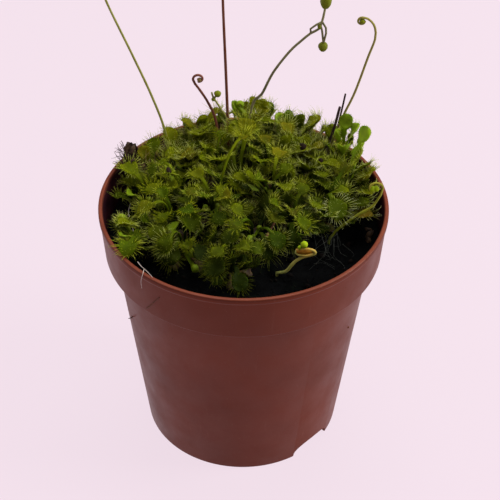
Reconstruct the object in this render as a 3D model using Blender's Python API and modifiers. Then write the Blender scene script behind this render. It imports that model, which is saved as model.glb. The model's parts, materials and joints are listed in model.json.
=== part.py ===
"""A small nursery pot of sundew: a taper pot, a domed plug of peat, about two dozen rosettes
of spoon-shaped leaves fringed with tentacles, and the flower stalks that stand among them.

Sizes and places are in millimetres and become metres through MM when a mesh is made. The
origin is the middle of the pot's foot, on the surface it stands on; +Z is up and -Y is the
side that faces the viewer.
"""

import math
import random
from collections import namedtuple

import bmesh
import bpy
from mathutils import Vector
from mathutils.bvhtree import BVHTree

MM = 0.001
GAP = 0.3

# Pot
RIM_RADIUS = 42.5
POT_HEIGHT = 81.7
WALL = 1.0
LIP_WIDTH = 1.25
LIP_DEPTH = 1.6
LIP_PROUD = 0.35
LIP_ROUND = 0.35
BAND_HEIGHT = 15.4
BAND_FOOT_RADIUS = 41.06
STEP_RADIUS = 38.04
STEP_DEPTH = 0.9
FOOT_RADIUS = 29.87
FOOT_WIDTH = 1.8
FLOOR_UNDERSIDE = 5.4
FLOOR_THICKNESS = 1.2
POT_SIDES = 44
NOTCH_AZIMUTHS = (-43.0, 137.0)
NOTCH_WIDTH = 15.0
NOTCH_HEIGHT = 4.6
DRAIN_COUNT = 5
DRAIN_RADIUS = 2.6
DRAIN_CIRCLE = 17.0

# Peat
SOIL_EDGE_DROP = 11.0
SOIL_DOME = 5.5
DOME_CENTRE = (0.0, 13.0)
DOME_SPREAD = 27.0
SOIL_SIDES = 28
SOIL_RINGS = 4

# Crowns and leaves
PEG_RADIUS = 1.3
PEG_DEPTH = 5.0
CROWN_TOP_RADIUS = 0.95
CROWN_RISE = 2.4
OPEN_ROUND_CROWN = 2.0
OPEN_ABOVE_CROWN = 8.0
ROOT_ZONE = 1.6
CROSSING_ZONE = 2.6
LEAF_THICKNESS = 0.62
LAMINA_LENGTH_RATIO = 1.12
TEETH = 6
TOOTH = 2.3
TOOTH_LIFT = 0.4
PETIOLE_WIDTH = 0.95
CLEAR = 0.2
WALL_CLEARANCE = 39.6
CANOPY_HEIGHT = 84.6
CANOPY_SWELLS = ((0.0, 7.0, 20.0, 4.0), (1.0, 31.0, 12.0, 7.0), (31.0, 22.0, 8.0, 3.5))
FULL_ROSETTE = 7
GOLDEN_ANGLE = 137.5
SEED = 28

# Stalks
STALK_HOLE_DEPTH = 6.0
STALK_STEP = 7.5
CURL_STEP = 32.0
TWIG_RADIUS = 0.32
BUD_SWELL = 1.08

# Each crown: name, x, y, leaves that grow by rule, reach of its lowest leaves, extra height
# at which it holds them
CROWNS = (
    ("a", -9.0, 0.0, 6, 10.5, 0.5),
    ("b", -29.5, 8.0, 6, 9.0, 0.5),
    ("c", -21.0, -3.0, 6, 9.5, 0.5),
    ("d", -30.0, -9.0, 6, 8.0, 0.0),
    ("e", -17.0, -12.5, 6, 9.0, 0.0),
    ("f", -4.0, -20.0, 5, 8.5, 0.0),
    ("g", 3.0, -9.5, 6, 10.0, 0.0),
    ("h", 13.5, -4.0, 5, 10.5, 0.5),
    ("i", 23.5, 1.5, 5, 10.0, 0.5),
    ("j", 8.5, 6.5, 6, 10.0, 1.0),
    ("k", -2.0, 10.0, 5, 11.0, 1.5),
    ("l", -18.5, 9.5, 6, 9.5, 0.5),
    ("m", -28.0, 19.0, 6, 9.0, 1.5),
    ("n", 19.0, 11.5, 6, 9.5, 1.0),
    ("o", 31.0, 12.5, 5, 8.5, 2.0),
    ("p", 7.5, 18.5, 6, 10.0, 2.0),
    ("q", -8.0, 20.0, 6, 10.0, 2.0),
    ("r", -17.5, 22.0, 6, 9.5, 1.0),
    ("s", 16.5, 22.0, 6, 10.0, 2.5),
    ("t", 29.5, 21.5, 6, 9.5, 3.5),
    ("u", -13.0, 32.5, 6, 8.0, 2.5),
    ("v", 5.0, 32.0, 6, 9.0, 5.0),
    ("w", 15.0, 32.0, 6, 8.0, 3.5),
)

# Leaves that stand out in the stand: crown, lamina centre x, y, z, tilt in degrees, width
MARKED_LEAVES = (
    ("h", 19.0, -7.0, 81.0, -38, 5.6),
    ("i", 27.0, -4.5, 82.5, -40, 5.6),
    ("h", 14.0, -13.0, 79.0, -45, 5.2),
    ("g", 7.0, -18.0, 79.5, -40, 5.6),
    ("g", -3.5, -15.5, 80.5, -25, 5.2),
    ("f", -1.0, -29.5, 77.0, -40, 5.0),
    ("f", -9.0, -25.5, 78.5, -30, 5.0),
    ("j", 7.0, 0.0, 82.0, -30, 5.0),
    ("k", 0.9, 24.0, 91.5, 25, 5.4),
    ("e", -20.5, -20.5, 79.0, -30, 5.2),
    ("e", -12.0, -18.5, 79.0, -25, 5.0),
    ("c", -15.5, -9.5, 81.0, -20, 5.4),
    ("c", -24.5, -12.0, 80.5, -20, 5.2),
    ("d", -34.5, -19.0, 82.5, -10, 5.0),
    ("b", -34.0, 12.0, 84.5, 10, 5.2),
    ("i", 35.0, -2.0, 79.5, 12, 5.2),
)

# Young leaves, still rolled into a club: crown, head x, y, z
YOUNG_LEAVES = (
    ("w", 11.0, 30.5, 92.0),
    ("o", 34.5, 18.0, 90.5),
    ("e", -14.5, -17.0, 77.0),
    ("d", -35.0, -7.0, 81.0),
    ("b", -31.5, 6.0, 82.5),
    ("v", -1.0, 33.5, 93.5),
    ("g", 0.5, -12.5, 80.0),
)

# A stalk rises from its foot along its route, a chain of points, and may end in a curl.
# Curl: centre x, z, first and last radius, first angle, degrees turned (negative is clockwise)
# Row: how many buds stand along the curl's outer side, and their half width
# Twigs: chains of points of side stems. Buds: x, y, z, half width, half height
Stalk = namedtuple("Stalk", "name foot route thick thin curl row twigs buds colour")
STALKS = (
    Stalk(
        "stalk_left", (-22.6, 27.2),
        ((-24.0, 28.0, 86.7), (-27.9, 29.7, 98.8), (-33.1, 31.3, 111.9), (-40.3, 33.0, 129.9),
         (-41.2, 33.2, 136.5)),
        0.42, 0.30, (-38.5, 137.5, 2.7, 1.3, 180.0, -300.0), (5, 0.8), (), (), "stalk_green",
    ),
    Stalk(
        "stalk_middle", (-4.4, 26.2),
        ((-4.9, 27.0, 89.9), (-5.5, 27.8, 107.6), (-6.4, 29.0, 132.7), (-6.2, 29.2, 139.5)),
        0.50, 0.34, (-3.7, 140.6, 2.5, 1.2, 180.0, -300.0), (5, 0.8), (), (), "stalk_red",
    ),
    Stalk(
        "stalk_hook", (-7.2, 28.6),
        ((-8.6, 30.0, 89.0), (-10.6, 30.3, 95.0), (-12.9, 30.4, 99.5), (-14.8, 30.5, 102.5)),
        0.44, 0.36, (-13.75, 104.2, 1.65, 1.0, 205.0, -300.0), None, (), (), "stalk_red",
    ),
    Stalk(
        "stalk_short", (-3.2, 30.6),
        ((-4.6, 30.4, 88.0), (-6.6, 30.2, 92.5), (-8.3, 30.0, 96.0), (-9.4, 30.0, 98.0),
         (-9.8, 30.0, 99.7)),
        0.36, 0.30, None, None, (((-9.2, 30.0, 97.3), (-8.7, 30.0, 98.2), (-8.1, 30.0, 99.0)),),
        ((-8.05, 30.0, 99.2, 1.1, 1.1), (-9.3, 30.0, 97.2, 0.65, 0.65)), "stalk_green",
    ),
    Stalk(
        "stalk_right", (-0.2, 27.6),
        ((2.3, 30.0, 94.8), (5.2, 30.0, 99.3), (8.4, 30.0, 107.0), (13.0, 30.0, 114.4),
         (16.3, 30.0, 118.2), (19.1, 30.0, 121.0), (21.4, 30.0, 122.5), (22.3, 30.0, 125.1),
         (22.8, 30.0, 128.0), (23.3, 30.0, 132.0), (23.6, 30.0, 136.2)),
        0.44, 0.32, None, None,
        (((19.2, 30.0, 121.0), (19.0, 30.0, 122.5), (20.6, 30.0, 123.9), (22.2, 30.0, 124.9)),
         ((22.3, 30.0, 125.0), (23.5, 30.0, 122.9), (23.6, 30.0, 121.0), (22.9, 30.0, 117.2))),
        ((23.2, 30.0, 131.8, 1.7, 2.7), (22.9, 30.0, 116.4, 1.45, 1.6),
         (23.7, 30.0, 136.8, 0.8, 1.0)), "stalk_grey",
    ),
    Stalk(
        "stalk_far_right", (23.3, 27.8),
        ((26.5, 26.8, 83.0), (29.6, 26.0, 94.3), (32.7, 26.0, 103.1), (35.9, 26.0, 115.5),
         (37.6, 26.0, 121.8), (37.4, 26.0, 125.6), (36.3, 26.0, 127.7), (35.0, 26.0, 128.8)),
        0.42, 0.32, (33.5, 127.9, 1.25, 0.85, 62.0, 300.0), None, (),
        ((33.6, 26.0, 127.9, 0.8, 0.8),), "stalk_grey",
    ),
    Stalk(
        "stub_dark", (22.4, 25.2), ((26.5, 25.0, 88.3), (28.4, 25.0, 98.3)),
        0.42, 0.36, None, None, (), (), "stub_brown",
    ),
    Stalk(
        "stub_thin", (25.9, 28.3), ((29.1, 28.5, 93.6), (30.1, 28.5, 100.6)),
        0.32, 0.30, None, None, (), (), "stub_brown",
    ),
    Stalk(
        "stalk_curled", (25.0, -7.0),
        ((26.8, -6.2, 76.2), (33.2, -5.2, 81.8), (37.2, -4.4, 84.2), (39.5, -3.8, 88.0)),
        0.40, 0.30, (37.9, 90.5, 2.15, 1.6, -5.0, 220.0), None, (),
        ((37.0, -3.7, 90.1, 0.85, 1.05), (38.2, -3.7, 90.2, 0.85, 0.95)), "stalk_yellow",
    ),
    Stalk(
        "shoot_pale", (9.8, -20.6),
        ((12.1, -20.9, 73.3), (13.6, -20.8, 75.4), (15.0, -20.5, 77.1), (17.2, -20.3, 78.5),
         (19.8, -20.1, 79.2), (20.5, -20.0, 79.9), (19.6, -19.8, 80.6), (17.4, -19.7, 80.9),
         (15.1, -19.6, 80.3)),
        0.62, 0.55, None, None, (),
        ((17.3, -19.6, 82.5, 1.05, 1.15), (16.0, -19.6, 81.4, 0.6, 0.65)), "shoot_cream",
    ),
)

COLOURS = {
    "pot_plastic": ((0.130, 0.036, 0.027, 1.0), 0.42),
    "peat": ((0.006, 0.005, 0.004, 1.0), 0.95),
    "leaf_green": ((0.110, 0.170, 0.010, 1.0), 0.45),
    "stalk_green": ((0.200, 0.240, 0.040, 1.0), 0.50),
    "stalk_red": ((0.130, 0.040, 0.018, 1.0), 0.50),
    "stalk_grey": ((0.170, 0.170, 0.060, 1.0), 0.50),
    "stalk_yellow": ((0.330, 0.330, 0.050, 1.0), 0.50),
    "stub_brown": ((0.060, 0.035, 0.030, 1.0), 0.80),
    "shoot_cream": ((0.520, 0.480, 0.140, 1.0), 0.50),
}


# The pot's wall and the peat's height, which everything planted keeps clear of

def band_radius(z):
    """Outer radius of the pot's wall at height z."""
    step_z = POT_HEIGHT - BAND_HEIGHT
    if z >= step_z:
        t = (z - step_z) / BAND_HEIGHT
        return BAND_FOOT_RADIUS + t * (RIM_RADIUS - LIP_PROUD - BAND_FOOT_RADIUS)
    return FOOT_RADIUS + (STEP_RADIUS - FOOT_RADIUS) * z / step_z


def inner_radius(z):
    """Inner radius of the pot at height z; the lip is no wider than LIP_WIDTH."""
    return min(band_radius(z) - WALL, RIM_RADIUS - LIP_WIDTH)


def soil_top(x, y):
    """Height of the peat at a point, lowest along the wall and domed towards the back."""
    reach = math.hypot(x - DOME_CENTRE[0], y - DOME_CENTRE[1]) / DOME_SPREAD
    return POT_HEIGHT - SOIL_EDGE_DROP + SOIL_DOME * math.exp(-reach * reach)


# The stand of leaves: where each leaf grows, kept clear of pot, peat, stalks and neighbours

Leaf = namedtuple("Leaf", "crown root centre azimuth tilt roll width young")


def leaf_axes(leaf):
    """Unit vectors of the lamina: along the leaf, to its left, and out of its upper face."""
    along = Vector((
        math.cos(leaf.tilt) * math.cos(leaf.azimuth),
        math.cos(leaf.tilt) * math.sin(leaf.azimuth),
        math.sin(leaf.tilt),
    ))
    left = Vector((-math.sin(leaf.azimuth), math.cos(leaf.azimuth), 0.0))
    up = along.cross(left)
    turned_left = left * math.cos(leaf.roll) + up * math.sin(leaf.roll)
    return along, turned_left, along.cross(turned_left)


def petiole_frame(leaf, t):
    """Point, heading, left side and upper side of the petiole, for t from 0 to 1."""
    along = leaf_axes(leaf)[0]
    start = Vector(leaf.root)
    end = Vector(leaf.centre) - along * (0.46 * LAMINA_LENGTH_RATIO * leaf.width)
    bend = end - along * (0.45 * (end - start).length)
    point = start * (1 - t) ** 2 + bend * (2 * t * (1 - t)) + end * t ** 2
    heading = ((bend - start) * (1 - t) + (end - bend) * t).normalized()
    level = Vector((-math.sin(leaf.azimuth), math.cos(leaf.azimuth), 0.0))
    side = level * math.cos(leaf.roll * t) + heading.cross(level) * math.sin(leaf.roll * t)
    return point, heading, side, heading.cross(side)


def spoon_leaf(leaf, extra=0.0):
    """Points and triangles of a petiole that widens into a blade with a toothed edge."""
    along, left, up = leaf_axes(leaf)
    half = LEAF_THICKNESS / 2 + extra
    half_width = leaf.width / 2 + extra
    half_length = half_width * LAMINA_LENGTH_RATIO
    centre = Vector(leaf.centre)
    left_edge, right_edge = [], []
    for t in (0.0, 0.55, 1.0):
        point, _, side, rise = petiole_frame(leaf, t)
        reach = side * (PETIOLE_WIDTH / 2 + extra * 0.6)
        left_edge.append((point + reach, rise))
        right_edge.append((point - reach, rise))
    blade = []
    neck = math.radians(14)
    steps = 2 * TEETH
    for i in range(1, steps):
        angle = math.pi - neck - i * (2 * math.pi - 2 * neck) / steps
        u, v, w = half_length * math.cos(angle), half_width * math.sin(angle), 0.0
        if i % 2:
            u += (TOOTH + extra) * math.cos(angle)
            v += (TOOTH + extra) * math.sin(angle)
            w = TOOTH_LIFT * TOOTH
        blade.append((centre + along * u + left * v + up * w, up))
    outline = left_edge + blade + right_edge[::-1]
    middle = (centre - up * 0.2, up)
    points = [p + n * half for p, n in outline + [middle]]
    points += [p - n * half for p, n in outline + [middle]]
    count = len(outline)
    heart, under = count, count + 1
    faces = []

    def both(a, b, c):
        faces.append((a, b, c))
        faces.append((c + under, b + under, a + under))

    last = count - 1
    for i in range(len(left_edge) - 1):
        both(i, last - i, i + 1)
        both(i + 1, last - i, last - i - 1)
    first, final = len(left_edge) - 1, last - len(left_edge) + 1
    for i in range(first, final):
        both(heart, i + 1, i)
    both(heart, first, final)
    for i in range(count):
        after = (i + 1) % count
        faces.append((i, after, after + under))
        faces.append((i, after + under, i + under))
    return points, faces


def young_leaf(leaf, extra=0.0):
    """Points and triangles of a young leaf: a stem with a rounded, rolled-up head."""
    sides = 6
    rings = []
    for t in (0.0, 0.5, 1.0):
        point, _, side, rise = petiole_frame(leaf, t)
        rings.append((point, side, rise, 0.5 + extra))
    along, left, up = leaf_axes(leaf)
    centre = Vector(leaf.centre)
    for place, swell in ((-0.22, 0.40), (0.12, 0.44), (0.42, 0.26)):
        rings.append((centre + along * (place * leaf.width), left, up, swell * leaf.width + extra))
    points, faces = [], []
    for point, side, rise, radius in rings:
        for k in range(sides):
            angle = 2 * math.pi * k / sides
            points.append(point + side * (radius * math.cos(angle)) + rise * (radius * math.sin(angle)))
    for ring in range(len(rings) - 1):
        for k in range(sides):
            a, b = ring * sides + k, ring * sides + (k + 1) % sides
            faces.append((a, b, b + sides))
            faces.append((a, b + sides, a + sides))
    points.append(rings[0][0])
    points.append(centre + along * (0.56 * leaf.width + extra))
    root, tip = len(points) - 2, len(points) - 1
    top = (len(rings) - 1) * sides
    for k in range(sides):
        after = (k + 1) % sides
        faces.append((root, after, k))
        faces.append((tip, top + k, top + after))
    return points, faces


def leaf_shape(leaf, extra=0.0):
    return young_leaf(leaf, extra) if leaf.young else spoon_leaf(leaf, extra)


def stalk_route(stalk):
    """Smooth chain of points of a stalk, from its foot in the peat to the tip of its curl."""
    x, y = stalk.foot
    ground = soil_top(x, y)
    knots = [Vector((x, y, ground - STALK_HOLE_DEPTH)), Vector((x, y, ground + 1.0))]
    knots += [Vector(point) for point in stalk.route]
    chain = [knots[0]]
    for i in range(1, len(knots) - 1):
        before, a, b = knots[i - 1], knots[i], knots[i + 1]
        after = knots[i + 2] if i + 2 < len(knots) else b + (b - a)
        if i == 1:
            before = a - (b - a) * 0.4
        pieces = max(2, round((b - a).length / STALK_STEP))
        for k in range(pieces):
            t = k / pieces
            chain.append(0.5 * (
                a * 2 + (b - before) * t + (before * 2 - a * 5 + b * 4 - after) * t ** 2
                + (a * 3 - before - b * 3 + after) * t ** 3
            ))
    chain.append(knots[-1])
    if stalk.curl:
        cx, cz, wide, tight, start, turned = stalk.curl
        count = max(5, round(abs(turned) / CURL_STEP))
        depth = knots[-1].y
        for k in range(1, count + 1):
            t = k / count
            angle = math.radians(start + turned * t)
            radius = wide + (tight - wide) * t
            chain.append(Vector((cx + radius * math.cos(angle), depth,
                                 cz + radius * math.sin(angle))))
    return chain


def curl_buds(stalk):
    """Buds in a row along the outer side of a curl: centre, half width and half height."""
    if not stalk.row:
        return ()
    cx, cz, wide, tight, start, turned = stalk.curl
    count, size = stalk.row
    found = []
    for k in range(count):
        t = (k + 0.6) / count
        angle = math.radians(start + turned * t)
        out = wide + (tight - wide) * t + size * 0.7
        found.append((cx + out * math.cos(angle), stalk.route[-1][1],
                      cz + out * math.sin(angle), size * (1 - 0.35 * t), size * 1.25 * (1 - 0.35 * t)))
    return tuple(found)


def stalk_hull(stalk):
    """A three-sided sleeve round a stalk and its buds, wide enough to keep leaves clear."""
    chain = stalk_route(stalk)
    reach = (stalk.thick + CLEAR) * 2
    points, faces = [], []
    for point in chain:
        for k in range(3):
            angle = 2 * math.pi * k / 3
            points.append(point + Vector((reach * math.cos(angle), reach * math.sin(angle), 0)))
    for ring in range(len(chain) - 1):
        for k in range(3):
            a, b = ring * 3 + k, ring * 3 + (k + 1) % 3
            faces += [(a, b, b + 3), (a, b + 3, a + 3)]
    for x, y, z, wide, tall in stalk.buds + curl_buds(stalk):
        first = len(points)
        w, h = wide + CLEAR, tall + CLEAR
        points += [Vector((x + dx * w, y + dy * w, z + dz * h)) for dx, dy, dz in
                   ((1, 0, 0), (0, 1, 0), (-1, 0, 0), (0, -1, 0), (0, 0, 1), (0, 0, -1))]
        for k in range(4):
            after = (k + 1) % 4
            faces.append((first + k, first + after, first + 4))
            faces.append((first + after, first + k, first + 5))
    return points, faces


def crown_hull(x, y):
    """A column over a crown, which the leaves of other rosettes stay out of."""
    ground = soil_top(x, y)
    reach = OPEN_ROUND_CROWN
    points = []
    for z in (ground - 1.0, ground + OPEN_ABOVE_CROWN):
        for k in range(6):
            angle = math.pi * k / 3
            points.append(Vector((x + reach * math.cos(angle), y + reach * math.sin(angle), z)))
    faces = []
    for k in range(6):
        after = (k + 1) % 6
        faces += [(k, after, after + 6), (k, after + 6, k + 6), (6, 6 + k, 6 + after)]
    return points, faces


def clear_of_pot_and_peat(points, faces):
    """True if every corner and edge middle lies inside the pot or over its rim, off the peat."""
    spots = list(points[:])
    for a, b, c in faces:
        spots += [(points[a] + points[b]) / 2, (points[b] + points[c]) / 2]
    for spot in spots:
        out = math.hypot(spot.x, spot.y)
        if spot.z < POT_HEIGHT + 0.5 and out > inner_radius(min(spot.z, POT_HEIGHT)) - 0.5:
            return False
        if out > RIM_RADIUS - 0.3:
            return False
        if spot.z < soil_top(spot.x, spot.y) + 0.45:
            return False
    return True


def canopy_top(x, y):
    """The greatest height of a blade's middle: a low dome over the rim, peaked at the back."""
    height = CANOPY_HEIGHT
    for cx, cy, spread, rise in CANOPY_SWELLS:
        reach = math.hypot(x - cx, y - cy) / spread
        height += rise * math.exp(-reach * reach)
    return height


def fit_to_wall(x, y, azimuth, out, tilt, blade):
    """Shorten and raise a leaf that would reach the wall: new reach, tilt and extra height."""
    heading = x * math.cos(azimuth) + y * math.sin(azimuth)
    room = -heading + math.sqrt(max(0.0, heading ** 2 + WALL_CLEARANCE ** 2 - x * x - y * y))
    need = out + blade * math.cos(math.radians(tilt))
    if need <= room:
        return out, tilt, 0.0
    share = max(0.0, min(1.0, room / need))
    out = max(2.6, out * share)
    upright = math.degrees(math.acos(max(0.12, min(1.0, (room - out) / blade))))
    return out, max(tilt, upright), 4.5 * (1 - share)


def grow_leaves():
    """Place every leaf, longest first, moving or dropping one that would cross a neighbour."""
    rng = random.Random(SEED)
    obstacles, siblings = [], []
    for stalk in STALKS:
        points, faces = stalk_hull(stalk)
        obstacles.append((None, BVHTree.FromPolygons(points, faces)))
    spots = {}
    for name, x, y, *_ in CROWNS:
        spots[name] = (x, y)
        points, faces = crown_hull(x, y)
        obstacles.append((name, BVHTree.FromPolygons(points, faces)))
    grown = []

    def try_leaf(leaf):
        points, faces = leaf_shape(leaf, CLEAR)
        tree = BVHTree.FromPolygons(points, faces)
        if any(owner != leaf.crown and tree.overlap(other) for owner, other in obstacles):
            return False
        points, faces = leaf_shape(leaf)
        outer = [f for f in faces if all(
            math.hypot(points[i].x - leaf.root[0], points[i].y - leaf.root[1]) > CROSSING_ZONE for i in f)]
        outer_tree = BVHTree.FromPolygons(points, outer)
        if any(outer_tree.overlap(other) for owner, other in siblings if owner == leaf.crown):
            return False
        body = [p for p in points if math.hypot(p.x - leaf.root[0], p.y - leaf.root[1]) > ROOT_ZONE]
        if len(body) < len(points) - 8:
            return False
        edges = [f for f in faces if all(
            math.hypot(points[i].x - leaf.root[0], points[i].y - leaf.root[1]) > ROOT_ZONE for i in f)]
        if not clear_of_pot_and_peat(points, edges):
            return False
        obstacles.append((leaf.crown, tree))
        siblings.append((leaf.crown, outer_tree))
        grown.append(leaf)
        return True

    def make(crown, lift, centre, tilt, roll, width, young=False):
        x, y = spots[crown]
        azimuth = math.atan2(centre[1] - y, centre[0] - x)
        root = (x + 0.5 * math.cos(azimuth), y + 0.5 * math.sin(azimuth), soil_top(x, y) + lift)
        return Leaf(crown, root, tuple(centre), azimuth, math.radians(tilt),
                    math.radians(roll), width, young)

    for crown, cx, cy, cz, tilt, width in MARKED_LEAVES:
        for lower, lean in ((0, 0), (1, 0), (-1, 0), (1, 12), (-1, -12), (2, 0), (3, 15)):
            if try_leaf(make(crown, 1.1, (cx, cy, cz + lower), tilt + lean, 0, width)):
                break
    for crown, cx, cy, cz in YOUNG_LEAVES:
        for lower in (0, 1, -1, 2):
            if try_leaf(make(crown, 1.9, (cx, cy, cz + lower), 62, 0, 3.2, True)):
                break
    most = max(entry[3] for entry in CROWNS)
    order = {entry[0]: index for index, entry in enumerate(CROWNS)}
    for rank in range(most):
        held = {name: sum(leaf.crown == name for leaf in grown) for name in spots}
        for crown, x, y, count, reach, stance in sorted(CROWNS, key=lambda e: held[e[0]]):
            if rank >= count or held[crown] >= FULL_ROSETTE:
                continue
            share = rank / (count - 1)
            ground = soil_top(x, y)
            width = rng.uniform(4.3, 5.4) * (1 - 0.22 * share)
            first = 47 * order[crown] + GOLDEN_ANGLE * rank + rng.uniform(-12, 12)
            out = reach * (1 - 0.55 * share) * rng.uniform(0.92, 1.08)
            high = 4.2 + stance + 7.5 * share + rng.uniform(-0.8, 0.8)
            outward = math.atan2(y - DOME_CENTRE[1] * 0.4, x)
            turn = 0
            for attempt in range(60):
                turn = -turn + (7 if turn <= 0 else 0)
                azimuth = math.radians(first + turn)
                shrink = 1 - 0.006 * attempt
                lift = high + 1.1 * (attempt % 7)
                tilt = -8 + 50 * share - 24 * math.cos(azimuth - outward) + 3 * (attempt % 4)
                roll = 16 * math.sin(azimuth - outward)
                blade = width * shrink * LAMINA_LENGTH_RATIO / 2 + TOOTH
                away, tilt, raised = fit_to_wall(x, y, azimuth, out * shrink, tilt, blade)
                cx, cy = x + away * math.cos(azimuth), y + away * math.sin(azimuth)
                centre = (cx, cy, min(ground + lift + raised, canopy_top(cx, cy)))
                if try_leaf(make(crown, 0.9 + 0.9 * share, centre, tilt, roll, width * shrink)):
                    break
    return grown


# Making the objects

def new_object(name, mesh, group):
    thing = bpy.data.objects.new(name, mesh)
    group.objects.link(thing)
    return thing


def mesh_of(name, points, faces):
    """A mesh in metres from points in millimetres."""
    mesh = bpy.data.meshes.new(name)
    mesh.from_pydata([point * MM for point in points], [], faces)
    mesh.update()
    return mesh


def dress(thing, colour, smooth=False):
    """Give a piece its Principled material, and smooth shading where it is round."""
    material = bpy.data.materials.get(colour)
    if material is None:
        value, roughness = COLOURS[colour]
        material = bpy.data.materials.new(colour)
        material.use_nodes = True
        shader = material.node_tree.nodes["Principled BSDF"]
        shader.inputs["Base Color"].default_value = value
        shader.inputs["Roughness"].default_value = roughness
        shader.inputs["Metallic"].default_value = 0.0
    thing.data.materials.clear()
    thing.data.materials.append(material)
    if smooth:
        thing.data.shade_smooth()
        thing.data.set_sharp_from_angle(angle=math.radians(35))


def turned(name, profile, sides, group):
    """A closed solid turned from a profile of (radius, height) that starts and ends on the axis."""
    mesh = bpy.data.meshes.new(name)
    mesh.from_pydata([(r * MM, 0.0, z * MM) for r, z in profile],
                     [(i, i + 1) for i in range(len(profile) - 1)], [])
    thing = new_object(name, mesh, group)
    screw = thing.modifiers.new("turn", "SCREW")
    screw.steps = screw.render_steps = sides
    screw.use_merge_vertices = True
    screw.merge_threshold = 1e-6
    return thing


def apply_modifiers(thing):
    """Swap an object's mesh for the one its modifiers make."""
    bpy.context.view_layer.update()
    graph = bpy.context.evaluated_depsgraph_get()
    made = bpy.data.meshes.new_from_object(thing.evaluated_get(graph))
    thing.modifiers.clear()
    thing.data = made


def cut_away(thing, cutters):
    """Cut every object of a collection from a piece with one Boolean, and drop them."""
    cut = thing.modifiers.new("cut", "BOOLEAN")
    cut.operation = "DIFFERENCE"
    cut.operand_type = "COLLECTION"
    cut.collection = cutters
    apply_modifiers(thing)
    drop(cutters)


def fuse(thing, extras):
    """Join every object of a collection onto a piece with one Boolean, and drop them."""
    join = thing.modifiers.new("join", "BOOLEAN")
    join.operation = "UNION"
    join.operand_type = "COLLECTION"
    join.collection = extras
    apply_modifiers(thing)
    drop(extras)


def drop(collection):
    for thing in list(collection.objects):
        bpy.data.objects.remove(thing)
    bpy.data.collections.remove(collection)


def helpers(name):
    group = bpy.data.collections.new(name)
    bpy.context.scene.collection.children.link(group)
    return group


def cylinder(name, x, y, bottom, top, radius, sides, group, top_radius=None):
    """An upright cylinder or cone between two heights."""
    mesh = bpy.data.meshes.new(name)
    shape = bmesh.new()
    bmesh.ops.create_cone(
        shape, cap_ends=True, segments=sides, radius1=radius * MM,
        radius2=(radius if top_radius is None else top_radius) * MM, depth=(top - bottom) * MM,
    )
    bmesh.ops.translate(shape, verts=shape.verts,
                        vec=Vector((x, y, (top + bottom) / 2)) * MM)
    shape.to_mesh(mesh)
    shape.free()
    return new_object(name, mesh, group)


def make_pot(group):
    """The taper pot: a turned shell with a lip, a band, a raised floor, holes and notches."""
    step_z = POT_HEIGHT - BAND_HEIGHT
    lip_inner = RIM_RADIUS - LIP_WIDTH
    floor_top = FLOOR_UNDERSIDE + FLOOR_THICKNESS
    profile = (
        (0.0, floor_top),
        (band_radius(floor_top) - WALL, floor_top),
        (STEP_RADIUS - WALL, step_z - STEP_DEPTH),
        (BAND_FOOT_RADIUS - WALL, step_z + WALL * 0.6),
        (lip_inner, POT_HEIGHT - LIP_ROUND),
        (lip_inner + LIP_ROUND, POT_HEIGHT),
        (RIM_RADIUS - LIP_ROUND, POT_HEIGHT),
        (RIM_RADIUS, POT_HEIGHT - LIP_ROUND),
        (RIM_RADIUS, POT_HEIGHT - LIP_DEPTH),
        (RIM_RADIUS - LIP_PROUD, POT_HEIGHT - LIP_DEPTH - LIP_PROUD),
        (BAND_FOOT_RADIUS, step_z),
        (STEP_RADIUS, step_z - STEP_DEPTH),
        (FOOT_RADIUS, 0.0),
        (FOOT_RADIUS - FOOT_WIDTH, 0.0),
        (band_radius(FLOOR_UNDERSIDE) - FOOT_WIDTH, FLOOR_UNDERSIDE),
        (0.0, FLOOR_UNDERSIDE),
    )
    pot = turned("pot", profile, POT_SIDES, group)
    cutters = helpers("pot_cutters")
    for index in range(DRAIN_COUNT):
        angle = 2 * math.pi * (index + 0.25) / DRAIN_COUNT
        cylinder(f"drain_{index}", DRAIN_CIRCLE * math.cos(angle), DRAIN_CIRCLE * math.sin(angle),
                 FLOOR_UNDERSIDE - 1, floor_top + 1, DRAIN_RADIUS, 12, cutters)
    for index, azimuth in enumerate(NOTCH_AZIMUTHS):
        add_notch_cutter(f"notch_{index}", azimuth, cutters)
    cut_away(pot, cutters)
    dress(pot, "pot_plastic", smooth=True)


def add_notch_cutter(name, azimuth, cutters):
    """An arch, wide at the ground, that runs out through the foot along one direction."""
    half = NOTCH_WIDTH / 2
    arch = [(-half - 0.6, -1.0)]
    for k in range(7):
        angle = math.pi * (1 - k / 6)
        arch.append((half * math.cos(angle), NOTCH_HEIGHT * math.sin(angle) ** 0.7))
    arch.append((half + 0.6, -1.0))
    near, far = FOOT_RADIUS - 7.0, FOOT_RADIUS + 4.0
    points = [Vector((near, across, up)) for across, up in arch]
    points += [Vector((far, across, up)) for across, up in arch]
    count = len(arch)
    faces = [tuple(range(count)), tuple(range(2 * count - 1, count - 1, -1))]
    for k in range(count):
        after = (k + 1) % count
        faces.append((k, k + count, after + count, after))
    notch = new_object(name, mesh_of(name, points, faces), cutters)
    notch.rotation_euler.z = math.radians(azimuth)


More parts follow.
